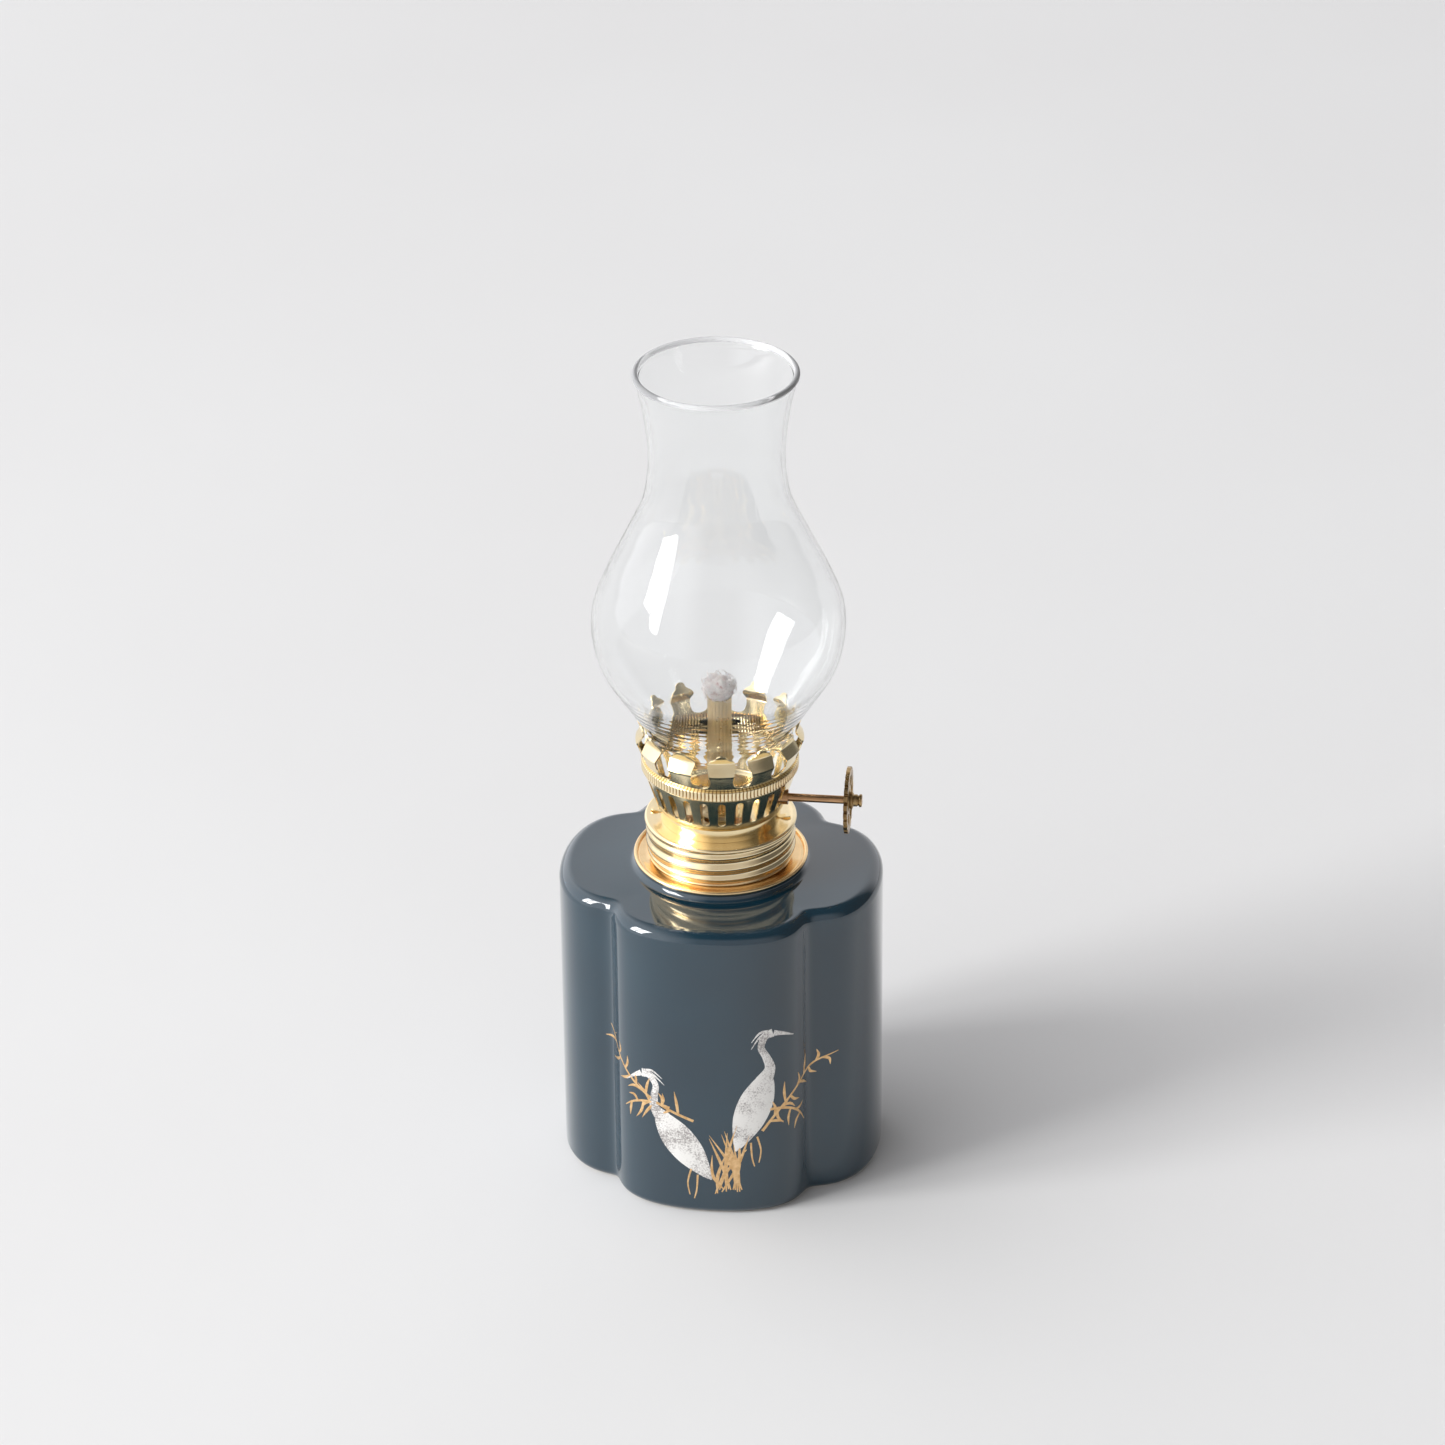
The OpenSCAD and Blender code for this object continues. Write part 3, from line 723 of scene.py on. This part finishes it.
def collar():
    """Dished flange with a rolled rim, a skirt in the neck and a rolled male thread."""
    sides = 256
    wall = 0.55
    rim = 0.52
    skirt_r = 15.8
    skirt_low = NECK_Z - 5
    outside = [(skirt_r - wall, skirt_low), (skirt_r, skirt_low), (skirt_r, NECK_Z - 0.3),
               (skirt_r + 0.3, NECK_Z), (DISH_R - 1.5, NECK_Z + 0.01)]
    outside += round_off(DISH_R - rim - 0.01, NECK_Z + 0.72, rim, 16, -75, 200)
    outside += [(DISH_R - 1.35, NECK_Z + wall + 0.12), (DISH_R - 1.9, NECK_Z + wall),
                (THREAD_R + 0.5, NECK_Z + wall), (THREAD_R + 0.1, NECK_Z + wall + 0.2)]
    rings = plain_rings(outside, sides)
    rings += threaded_wall(THREAD_R, NECK_Z + wall + 0.5, SLEEVE_TOP, sides, 54)
    rings += threaded_wall(THREAD_R - wall, NECK_Z + wall + 0.3, SLEEVE_TOP, sides, 54)[::-1]
    rings += plain_rings([(skirt_r - wall + 0.4, NECK_Z + 0.35), (skirt_r - wall, NECK_Z - 0.1)], sides)
    nodes = ["font_collar", "collar_sleeve"]
    add_piece("brass_collar", *skin(rings, True), COLLAR_BRASS, "font", "collar_brass", nodes, 60)


def cap():
    """Screw cap: rolled thread showing on the skirt, rounded shoulder and dished top."""
    sides = 256
    gap, wall = 2.0, 0.5
    outer_r = THREAD_R + 1.0
    low = NECK_Z + gap
    high = CAP_Z - 1.3
    bead = 0.62
    rings = plain_rings([(outer_r - 0.2, low), (outer_r, low + 0.12)], sides)
    rings += threaded_wall(outer_r, low + 0.3, high, sides, 60)
    flat, under = CAP_Z - 0.12, CAP_Z - 0.58
    top = round_off(CAP_R - bead - INSIDE, CAP_Z - bead - INSIDE, bead, 14, -50, 90)
    dish = [(CAP_R - 1.0, CAP_Z - 0.05), (CAP_R - 2.0, CAP_Z - 0.18), (DRUM_R + 1.2, CAP_Z - 0.2)]
    top += smooth_curve(dish, 5)
    top += [(DRUM_R + 0.4, flat), (DRUM_R - 1, flat), (TUBE_R + 0.02, flat), (TUBE_R + 0.02, under),
            (outer_r - wall - 0.6, under), (outer_r - wall, CAP_Z - 1.1)]
    rings += plain_rings(top, sides)
    rings += threaded_wall(outer_r - wall, low + 0.3, high, sides, 60)[::-1]
    rings += plain_rings([(outer_r - wall + 0.05, low)], sides)
    nodes = ["burner_cap", "cap_skirt"]
    add_piece("brass_cap", *skin(rings, True), CAP_BRASS, "burner", "cap_brass", nodes, 50)


# ---- pierced sheet ----


def pierced(profile, metal, count, across, start=0.0, closed_gaps=()):
    """One face of a turned sheet cut by count equal gaps, save the closed ones.

    profile holds (r, z) from low to high, and metal(z, r) is half the width in
    radians of the metal between two gaps; half a pitch or more means no gap.
    start is the direction of the first middle of metal, gap k following metal k.
    """
    verts, faces = [], []
    half_pitch = pi / count
    for sector in range(count):
        middle = start + TAU * sector / count
        base = len(verts)
        for r, z in profile:
            half = min(metal(z, r), half_pitch)
            before = half_pitch if (sector - 1) % count in closed_gaps else half
            after = half_pitch if sector in closed_gaps else half
            verts += [polar(r, middle + mix(-before, after, k / across), z) for k in range(across + 1)]
        width = across + 1
        for i in range(len(profile) - 1):
            for k in range(across):
                v = base + i * width + k
                faces.append((v, v + 1, v + 1 + width, v + width))
    return verts, faces


def heights_with_ends(stops, spacing, ends, fine):
    """Heights from the first stop to the last, crowded at the round ends of a gap."""
    made = set(stops)
    for low, high in zip(stops, stops[1:]):
        count = max(1, round((high - low) / spacing))
        made.update(mix(low, high, k / count) for k in range(count))
    for end, radius, way in ends:
        made.update(end + way * radius * (1 - cos(a)) for a in arc(fine))
    return sorted(made)


def along(profile, z):
    """Radius of a (r, z) polyline at height z."""
    for (r0, z0), (r1, z1) in zip(profile, profile[1:]):
        if z <= z1:
            return mix(r0, r1, (z - z0) / (z1 - z0))
    return profile[-1][0]


def basket():
    """Drum and flared basket in one pressed sheet, with round-ended air slots."""
    low, high, half = DRUM_Z + 1.5, DRUM_Z + 8.9, 0.9  # ends and half width of a slot
    flare = smooth_curve(
        [(DRUM_R, DRUM_Z - 0.75), (DRUM_R + 0.35, DRUM_Z - 0.45), (DRUM_R + 0.85, DRUM_Z - 0.1),
         (DRUM_R + 1.12, DRUM_Z + 0.25)], 5,
    )
    shape = [(DRUM_R, CAP_Z - 0.1)] + flare + [(BAND_R - 0.82, BASKET_Z - 0.02)]

    def metal(z, r):
        if z <= low or z >= high:
            return pi
        reach = half - min(z - low, high - z, half)
        return pi / SLOTS - sqrt(max(half * half - reach * reach, 0)) / r

    stops = [CAP_Z - 0.1] + [z for _, z in flare] + [low, high, BASKET_Z - 0.02]
    zs = heights_with_ends(stops, 0.45, [(low, half, 1), (high, half, -1)], 7)
    first = PATTERN_TURN - pi / 2 - pi / SLOTS
    sheet = pierced([(along(shape, z), z) for z in zs], metal, SLOTS, 6, first, (SHAFT_SLOT,))
    piece = add_piece("air_basket", *sheet, BASKET_BRASS, "burner", "basket_brass", ["burner_basket"], 45)
    thicken(piece, SHEET, 0.09)


def basket_tabs():
    """Two tabs bent out from the drum, which hold it down on the cap."""
    half_width, thickness = 0.85, 0.3
    for name, turn in (("basket_tab_right", 0.0), ("basket_tab_left", pi)):
        section = [(DRUM_R - 0.1, 0.0), (DRUM_R + 0.9, 0.06), (DRUM_R + 1.9, 0.28), (DRUM_R + 2.9, 0.2)]
        rows = []
        for r, lift in smooth_curve(section, 4):
            half = half_width * sqrt(max(0.05, 1 - max(0, (r - DRUM_R - 2.0) / 1.0) ** 2))
            row = []
            for k in range(7):
                t = half * (k / 3 - 1)
                x, y = r * cos(turn) - t * sin(turn), r * sin(turn) + t * cos(turn)
                row.append((x, y, CAP_Z - 0.05 + lift))
            rows.append(row)
        sheet = skin(rows, wrap=False)
        piece = add_piece(name, *sheet, BASKET_BRASS, "burner", "basket_brass", (), 45)
        solid = piece.modifiers.new("sheet", "SOLIDIFY")
        solid.thickness = thickness * MM
        solid.offset = 0
        soften(piece, 0.06)


def crown():
    """Crown of sprung prongs: keyhole gaps, two facets, a waist and flared round tips."""
    foot = BAND_TOP
    crease, waist, tip = foot + 5, foot + 7.7, TIP_Z
    start = SEAT_Z + 0.1
    inner = BAND_R - 1.04
    lower = [(inner, start), (inner, foot + 0.05), (BAND_R + 0.68, crease - 0.24)]
    upper = [(BAND_R + 0.8, crease), (BAND_R + 0.66, crease + 0.26)]
    top = smooth_curve([(BAND_R - 0.45, waist - 0.75), (BAND_R - 0.8, waist), (BAND_R - 0.62, waist + 0.7),
                        (BAND_R - 0.1, waist + 1.7), (BAND_R + 0.39, tip - 0.01)], 6)
    shape = lower + upper + top
    gap_curve = smooth_curve(
        [(foot + h, g) for h, g in
         ((2.35, 2.12), (3.3, 2.4), (4.4, 2.3), (5.6, 1.96), (6.7, 1.6), (7.4, 1.5), (8.0, 1.66),
          (8.5, 2.1), (8.85, 2.7), (9.1, 3.2), (9.3, 3.5), (9.5, 3.68))], 8,
    )
    tip_half, round_z = 1.36, 9.5  # half width of a prong where its round tip starts, and that height
    hole_low, hole_mid, hole_r, hole_half = 1.1, 2.35, 1.25, 2.12  # round foot of a gap

    def gap(z):
        height = z - foot
        if height < hole_low:
            return -1.0
        if height < hole_mid:
            return hole_half * sqrt(max(0, 1 - ((hole_mid - height) / hole_r) ** 2))
        for (z0, g0), (z1, g1) in zip(gap_curve, gap_curve[1:]):
            if z <= z1:
                return mix(g0, g1, (z - z0) / (z1 - z0))
        return None

    def metal(z, r):
        pitch = r * sin(pi / PRONGS)
        opening = gap(z)
        if opening is None:
            rise = (z - foot - round_z) / (tip - foot - round_z)
            return tip_half * sqrt(max(0, 1 - rise * rise)) / r
        if opening < 0:
            return pi
        return asin((pitch - opening) / r)

    stops = [start, foot + 0.05, foot + hole_low, foot + hole_mid, crease - 0.28, crease, crease + 0.26,
             waist, foot + round_z, tip - 0.01]
    ends = [(foot + hole_low, hole_r, 1), (tip - 0.01, tip - 0.01 - foot - round_z, -1)]
    zs = heights_with_ends(stops, 0.3, ends, 9)
    first = PATTERN_TURN - pi / 2
    sheet = pierced([(along(shape, z), z) for z in zs], metal, PRONGS, 8, first)
    piece = add_piece("prong_ring", *sheet, CROWN_BRASS, "burner", "crown_brass", ["prong_crown"], 30)
    thicken(piece, SHEET, 0.09)


def knurled_ring():
    """Rolled band with fine upright knurls between two plain edges."""
    per_knurl = 8
    sides = KNURLS * per_knurl
    low, high = BASKET_Z + 0.01, BAND_TOP - 0.01
    inner = BAND_R - 1.0
    face = BAND_R - INSIDE
    outline = rounded([(face, low, 0.35), (face, high, 0.35), (inner, high, 0.15), (inner, low, 0.15)], 5)
    dense = []
    for i, (r, z) in enumerate(outline):
        dense.append((r, z))
        nr, nz = outline[(i + 1) % len(outline)]
        if r > BAND_R - 0.1 and nr > BAND_R - 0.1 and abs(nz - z) > 0.5:
            dense += [(r, mix(z, nz, k / 8)) for k in range(1, 8)]
    edge = 0.3
    turns = around(sides)
    grooves = [(0.5 - 0.5 * cos(TAU * k / per_knurl)) ** 3 for k in range(sides)]
    rings = []
    for r, z in dense:
        deep = KNURL_DEPTH * (fade(z, low + edge, high - edge, edge) if r > BAND_R - edge else 0.0)
        rings.append([polar(r - deep * groove, a, z) for groove, a in zip(grooves, turns)])
    band = skin(rings, True)
    add_piece("knurled_ring", *band, KNURL_BRASS, "burner", "basket_brass", ["knurled_band"], 50)
    lining_r, half = BAND_R - 1.5, 0.05
    lining_low, lining_high = SEAT_Z + 0.05, BAND_TOP + 1.0
    outline = [(lining_r + half, lining_low), (lining_r + half, lining_high),
               (lining_r - half, lining_high), (lining_r - half, lining_low)]
    ribs = [0.04 * cos(TAU * k / per_knurl) for k in range(sides)]
    lining = skin([[polar(r + rib, a, z) for rib, a in zip(ribs, turns)] for r, z in outline], True)
    add_piece("ribbed_lining", *lining, KNURL_BRASS, "burner", "basket_brass", (), 50)


def seat():
    """Ledge for the glass, with a lip turned down inside."""
    low, high = span("chimney_seat")[0].z + INSIDE, SEAT_Z - INSIDE
    inner, outer, edge = 15.62, 16.0, SEAT_R - INSIDE
    outline = rounded(
        [(edge, high, 0.1), (inner, high, 0.35), (inner, low, 0.15), (outer, low, 0.15),
         (outer, SEAT_Z - SHEET, 0.12), (edge, SEAT_Z - SHEET, 0.1)], 5,
    )
    add_piece("seat_ledge", *turned(outline), CROWN_BRASS, "burner", "crown_brass", ["chimney_seat"], 50)


# ---- wick tube and wick ----


def tube():
    """Thin fluted tube for the wick, plain at its mouth and cut by the winder's window."""
    flutes, per_flute = 20, 10
    sides = flutes * per_flute
    wall = 0.42
    opening = 2.6  # half the window's height
    window = (SHAFT_AXIS.z - opening, SHAFT_AXIS.z + opening)
    half_window = radians(42)
    zs = sorted({TUBE_LOW, TUBE_LOW + 0.3, *window, TUBE_TOP - 0.5, TUBE_TOP - 0.2, TUBE_TOP}
                | {mix(TUBE_LOW, TUBE_TOP, k / 30) for k in range(1, 30)})
    verts, faces = [], []
    for z in zs:
        plain = min(1.0, max(0.0, (TUBE_TOP - 0.2 - z) / 0.8))
        for k in range(sides):
            a = TAU * (k + 0.5) / sides
            wave = (0.5 - 0.5 * cos(TAU * (k + 0.5) / per_flute)) ** 2
            verts.append(polar(TUBE_R - 0.01 - FLUTE_DEPTH * wave * plain, a, z))
    for i in range(len(zs) - 1):
        middle = (zs[i] + zs[i + 1]) / 2
        for k in range(sides):
            a = TAU * (k + 1) / sides
            off = abs((a - 1.5 * pi + pi) % TAU - pi)
            if window[0] < middle < window[1] and off < half_window:
                continue
            m = (k + 1) % sides
            faces.append((i * sides + k, i * sides + m, (i + 1) * sides + m, (i + 1) * sides + k))
    nodes = ["wick_tube"]
    piece = add_piece("fluted_wick_tube", verts, faces, TUBE_BRASS, "burner", "tube_brass", nodes, 50)
    thicken(piece, wall, 0.05)


def braid():
    """Round braided wick: strands crossing over and under each other."""
    sides, pitch, strands = 64, 7.0, 8
    rows = int((WICK_TOP - WICK_LOW) / 0.32)
    relief = 0.32
    rings = [[(0.0, 0.0, WICK_LOW)] * sides]
    for i in range(rows + 1):
        z = mix(WICK_LOW, WICK_TOP, i / rows)
        turn = TAU * z / pitch
        ring = []
        for a in around(sides):
            first = abs(sin((strands / 2) * (a + turn)))
            second = abs(sin((strands / 2) * (a - turn)))
            rough = 0.05 * noise.noise(Vector((4 * a, z * 3, 1)))
            r = WICK_R - 0.01 - relief * (1 - max(first, second)) - rough
            ring.append(polar(min(r, WICK_R - 0.005), a, z))
        rings.append(ring)
    rings.append([(0.0, 0.0, WICK_TOP)] * sides)
    add_piece("braided_wick", *skin(rings), COTTON, "wick", "wick_cotton", ["wick"], 70)


def tuft_core():
    """Soft lumpy heart of the frayed head."""
    rings = []
    rows, sides = 26, 56
    height = TUFT_TOP - TUFT_LOW - 0.5
    for i in range(rows + 1):
        t = i / rows
        r = (TUFT_R - 1.0) * (sin(pi * min(1, 0.16 + 0.84 * t)) ** 0.62) * (1 - 0.12 * t)
        z = TUFT_LOW + 0.02 + height * t
        ring = []
        for a in around(sides):
            lump = noise.noise(Vector((1.6 * cos(a), 1.6 * sin(a), z * 0.7)))
            ring.append(polar(max(0.0, r * (1 + 0.3 * lump)) if 0 < i < rows else 0.0, a, z))
        rings.append(ring)
    return skin(rings)


def fibre(points, radius):
    """A thin tapering tube along points."""
    rings = []
    for i, p in enumerate(points):
        here, way = Vector(p), heading(points, i)
        side = way.orthogonal().normalized()
        up = way.cross(side)
        r = radius * (1 - 0.75 * i / (len(points) - 1))
        rings.append([tuple(here + side * r * cos(a) + up * r * sin(a)) for a in around(4)])
    return capped(rings)


def tuft():
    """Frayed head of the wick: a soft heart under curling fibres."""
    rng = random.Random(5)
    parts = [tuft_core()]
    centre = Vector((0, 0, mix(TUFT_LOW, TUFT_TOP, 0.42)))
    limit_r, limit_low, limit_high = TUFT_R - 0.08, TUFT_LOW + 0.06, TUFT_TOP - 0.08
    fibres, knots, step = 300, 12, 0.34
    for _ in range(fibres):
        rise = rng.uniform(-0.35, 1.0)
        a = rng.uniform(0, TAU)
        flat = sqrt(1 - rise * rise)
        p = centre + Vector((flat * cos(a) * 3.6, flat * sin(a) * 3.6, rise * 2.4))
        way = Vector((rng.gauss(0, 1), rng.gauss(0, 1), rng.gauss(0, 0.7))).normalized()
        axis = Vector((rng.gauss(0, 1), rng.gauss(0, 1), rng.gauss(0, 1))).normalized()
        curl = axis * rng.uniform(0.25, 0.6)
        points = []
        for _ in range(knots):
            q = Vector(p)
            flat_r = hypot(q.x, q.y)
            if flat_r > limit_r:
                q.x, q.y = q.x * limit_r / flat_r, q.y * limit_r / flat_r
            q.z = min(max(q.z, limit_low), limit_high)
            points.append(tuple(q))
            out = (q - centre).normalized()
            way = (way + curl.cross(way) * 0.55 + out * 0.05 - out * max(0, way.dot(out)) * 0.4).normalized()
            p = q + way * step
        parts.append(fibre(points, rng.uniform(0.07, 0.15)))
    add_piece("frayed_wick_head", *merged(*parts), COTTON, "wick", "wick_cotton", ["wick_tuft"], 80)


# ---- chimney ----


def glass_outline():
    """Outer (r, z) outline of the glass from its foot to its throat and rim."""
    bulb, throat = 30.5, 16.4
    heights = [
        (GLASS_FOOT_R, 7.8), (GLASS_FOOT_R + 0.25, 9.9), (18.9, 11.7), (20.4, 13.9), (bulb - 6.5, 19.4),
        (bulb - 2, 27.0), (bulb, 34.4), (bulb - 0.2, 42.5), (bulb - 3.6, 51.5), (bulb - 8.4, 61.5),
        (throat + 1.6, 70.5), (throat + 0.3, 77.3), (throat, 82.0), (throat + 0.3, 88.0),
        (throat + 1.3, 95.4), (throat + 2.5, 101.0), (throat + 3.3, 103.9),
    ]
    return [(r - 0.03, SEAT_Z + h) for r, h in smooth_curve(heights, 10)]


def chimney():
    """Blown glass: even wall, fire-polished foot and a rounded bead at the rim."""
    wall, bead = 1.15, 0.73
    ripple, ripple_z, ripple_reach, ripple_pitch = 0.06, 19, 6, 1.7  # faint rings low on the bulb
    low, high = span("chimney")
    outside = glass_outline()
    rim_r = outside[-1][0] - 0.57
    outside = [p for p in outside if p[1] < high.z - 2.2 * bead]
    inside = []
    for i, (r, z) in enumerate(outside):
        way = heading(outside, i)
        height = z - SEAT_Z
        swell = max(0.0, 1 - abs(height - ripple_z) / ripple_reach) * ripple
        thick = wall + swell * sin(TAU * height / ripple_pitch)
        inside.append((r - way.y * thick, z + way.x * thick))
    rim_z = high.z - bead - INSIDE
    roll = round_off(rim_r, rim_z, bead, 18, -40, 215)
    foot_r = outside[0][0]
    foot = round_off(foot_r - wall / 2, low.z + 0.01 + wall / 2, wall / 2, 10, 180, 360)
    straight = [mix(low.z + 1.2, outside[0][1], k / 6) for k in range(6)]
    profile = foot + [(foot_r, z) for z in straight] + outside + roll + inside[::-1]
    profile += [(foot_r - wall, z) for z in straight[::-1]]
    add_piece("glass_chimney", *turned(profile, 224), GLASS, "chimney", "clear_glass", ["chimney"], 80)
    # painted light: a pale half-clear shell just outside the rim bead, standing in for the light gathered in
    # the glass
    painted_glow = turned(round_off(rim_r, rim_z, bead + 0.012, 18, -40, 215), 224, False)
    add_piece("rim_painted_glow_layer", *painted_glow, RIM_PAINTED_GLOW, "chimney", "clear_glass", (), 80)


# ---- winder ----


def winder_shaft():
    """Drawn wire shaft with rounded ends."""
    low, high = span("winder_shaft")
    end = 0.2
    first = [(SHAFT_R - end + end * sin(a), low.x + end - end * cos(a)) for a in arc(4)]
    last = round_off(SHAFT_R - end, high.x - end, end, 4, 0, 90)
    rod = on_shaft(*turned([(0.0, low.x)] + first + last + [(0.0, high.x)], 48, False))
    add_piece("shaft_rod", *rod, WINDER_BRASS, "winder", "winder_brass", ["winder_shaft"], 50)


def wheel_r(a, notches):
    """Radius of the thumbwheel's scalloped rim at angle a."""
    t = (a / TAU * notches) % 1.0
    notch = max(0.0, 1 - ((t - 0.5) / 0.17) ** 2)
    return THUMB_R - INSIDE - NOTCH_DEPTH * sqrt(notch)


def thumbwheel():
    """Stamped wheel: notched rim, a raised ring and six round piercings."""
    notches, holes = 24, 6
    low, high = THUMB_LOW.x + INSIDE, THUMB_HIGH.x - INSIDE
    hub, hole_at, hole_r = 2.1, THUMB_R * 0.58, 1.5
    sides, rings_in = 480, 14
    web = (high - low) * 0.3

    def thickness(r):
        if r > THUMB_R - 2.0 or r < hub + 0.5:
            return (high - low) / 2
        return web

    radii = sorted({hub * 0.48, hub, hub + 0.45, hub + 0.6, THUMB_R - 2.15, THUMB_R - 1.95, THUMB_R - 1.2}
                   | {mix(hub + 0.6, THUMB_R - 2.15, k / rings_in) for k in range(rings_in)})
    middle = (low + high) / 2
    rows = [[polar(r, a, middle + thickness(r)) for a in around(sides)] for r in radii]
    rows.append([polar(wheel_r(a, notches), a, high) for a in around(sides)])
    under = [[(x, y, 2 * middle - z) for x, y, z in row] for row in rows]
    wheel = on_shaft(*skin(rows + under[::-1], True))
    nodes = ["thumbwheel"]
    piece = add_piece("notched_thumbwheel", *wheel, ANTIQUE, "winder", "antique_brass", nodes, 30)
    centres, _ = on_shaft([polar(hole_at, a, middle) for a in around(holes)])
    for centre in centres:
        bpy.ops.mesh.primitive_cylinder_add(
            vertices=40, radius=hole_r * MM, depth=0.01, location=Vector(centre) * MM,
            rotation=(0, pi / 2, 0),
        )
        cutter = bpy.context.object
        cut = piece.modifiers.new("piercing", "BOOLEAN")
        cut.object = cutter
        cut.solver = "EXACT"
        bpy.context.view_layer.objects.active = piece
        bpy.ops.object.modifier_apply(modifier=cut.name)
        bpy.data.objects.remove(cutter)
    soften(piece, 0.06)


def hub():
    """Turned hub riveted to the end of the shaft."""
    low, high = span("thumbwheel_hub")
    length = high.x - low.x
    corners = [(SHAFT_R, 0, 0), (2.08, 0, 0.12), (2.08, 0.6, 0.15), (1.48, 0.9, 0.1), (1.48, 1.7, 0.12),
               (1.25, 1.92, 0.1), (1.25, 2.1, 0.1), (1.58, 2.3, 0.12), (1.58, length - INSIDE, 0.2),
               (SHAFT_R, length - INSIDE, 0)]
    boss = on_shaft(*turned([(r, low.x + z) for r, z in rounded(corners)], 64))
    add_piece("thumbwheel_boss", *boss, ANTIQUE, "winder", "antique_brass", ["thumbwheel_hub"], 40)


# ---- CAD nodes that keep their own shape ----


def dress_cad_nodes():
    """Gives the plain internal parts their materials and softens their edges."""
    finishes = {
        "collar_cement": (PLASTER, 0.0),
        "cap_washer": (CORK, 0.12),
        "tube_flange": (TUBE_BRASS, 0.08),
        "shaft_bracket": (WINDER_BRASS, 0.08),
        "bracket_rivets": (WINDER_BRASS, 0.08),
        "shaft_bushing": (WINDER_BRASS, 0.08),
        "retaining_collar": (WINDER_BRASS, 0.1),
        "spur_wheel_left": (ANTIQUE, 0.05),
        "spur_wheel_right": (ANTIQUE, 0.05),
    }
    for node, (material, width) in finishes.items():
        shown = frame["nodes"][node]
        shown.data.materials.clear()
        shown.data.materials.append(material)
        if width:
            soften(shown, width)


# ---- stage ----


def floor():
    mesh = bpy.data.meshes.new("floor")
    reach = 6.0
    corners = [(x * reach, y * reach, 0) for x, y in ((-1, -1), (1, -1), (1, 1), (-1, 1))]
    mesh.from_pydata(corners, [], [(0, 1, 2, 3)])
    mesh.materials.append(paper())
    add_object("floor", mesh)


def towards(turn, rise):
    """Direction turned from the front and raised from the floor, in radians."""
    return Vector((sin(turn) * cos(rise), -cos(turn) * cos(rise), sin(rise)))


def area_light(name, place, aim, width, height, power):
    data = bpy.data.lights.new(name, "AREA")
    data.shape = "RECTANGLE"
    data.size, data.size_y = width, height
    data.energy = power
    lamp = add_object(name, data)
    lamp.location = place
    lamp.rotation_euler = (Vector(aim) - Vector(place)).to_track_quat("-Z", "Y").to_euler()


def window(name, azimuth, elevation, distance, width, height, gap, radiance):
    """Two panes of daylight with a bar between them; angles from the front, in degrees."""
    turn, rise = radians(azimuth), radians(elevation)
    way = towards(turn, rise)
    aside = Vector((cos(turn), sin(turn), 0))
    middle = Vector((0, 0, 0.1)) + way * distance
    pane = (width - gap) / 2
    for side, label in ((-1, "left"), (1, "right")):
        place = middle + aside * side * (pane + gap) / 2
        area_light(f"{name}_{label}", place, place - way, pane, height, pi * pane * height * radiance)


def studio():
    """Daylight from a window in the left wall, in a room with a pale wall behind."""
    window("window", -63, 28, 4.0, 1.5, 2.3, 0.1, 14)
    world = bpy.data.worlds.new("room")
    bpy.context.scene.world = world
    world.use_nodes = True
    tree = world.node_tree
    way = add_node(tree, "TexCoord").outputs["Generated"]
    place = add_node(tree, "SeparateXYZ", Vector=way)
    to_left = range_node(place.outputs["X"], -0.15, -0.5, 0, 1)
    behind = range_node(place.outputs["Y"], 0.6, 0.8, 0, 1)
    ahead = range_node(place.outputs["Y"], -0.3, -0.7, 0, 1)
    above = range_node(place.outputs["Z"], 0.6, 0.85, 0, 1)
    front = mix_colours(ahead, (0.14, 0.14, 0.14), (0.58, 0.56, 0.56))
    walls = mix_colours(behind, front, (0.95, 0.95, 0.98))
    ceiling = mix_colours(above, walls, (0.12, 0.12, 0.12))
    room = mix_colours(to_left, ceiling, (1.55, 1.55, 1.59))
    feed(tree.nodes["Background"], Color=room)


def camera():
    """Looks down on the lamp from its front left, through a long lens."""
    azimuth, elevation, roll = radians(7), radians(28.9), radians(0.6)
    distance, aim_z, aim_right = 1.336, 0.1187, 0.0007
    back = towards(azimuth, elevation)
    right = Vector((cos(azimuth), sin(azimuth), 0))
    up = back.cross(right)
    tilted_right = right * cos(roll) - up * sin(roll)
    tilted_up = right * sin(roll) + up * cos(roll)
    data = bpy.data.cameras.new("camera")
    data.lens = 137.0
    data.sensor_width = 36.0
    data.clip_end = 50
    eye = add_object("camera", data)
    turn = Matrix((tilted_right, tilted_up, back)).transposed().to_4x4()
    eye.matrix_world = Matrix.Translation(Vector((0, 0, aim_z)) + right * aim_right + back * distance) @ turn
    bpy.context.scene.camera = eye
    bpy.context.scene.view_settings.view_transform = "Standard"


camera()
font()
painting()
collar()
cap()
basket()
basket_tabs()
crown()
knurled_ring()
seat()
tube()
braid()
tuft()
chimney()
winder_shaft()
thumbwheel()
hub()
dress_cad_nodes()
floor()
studio()
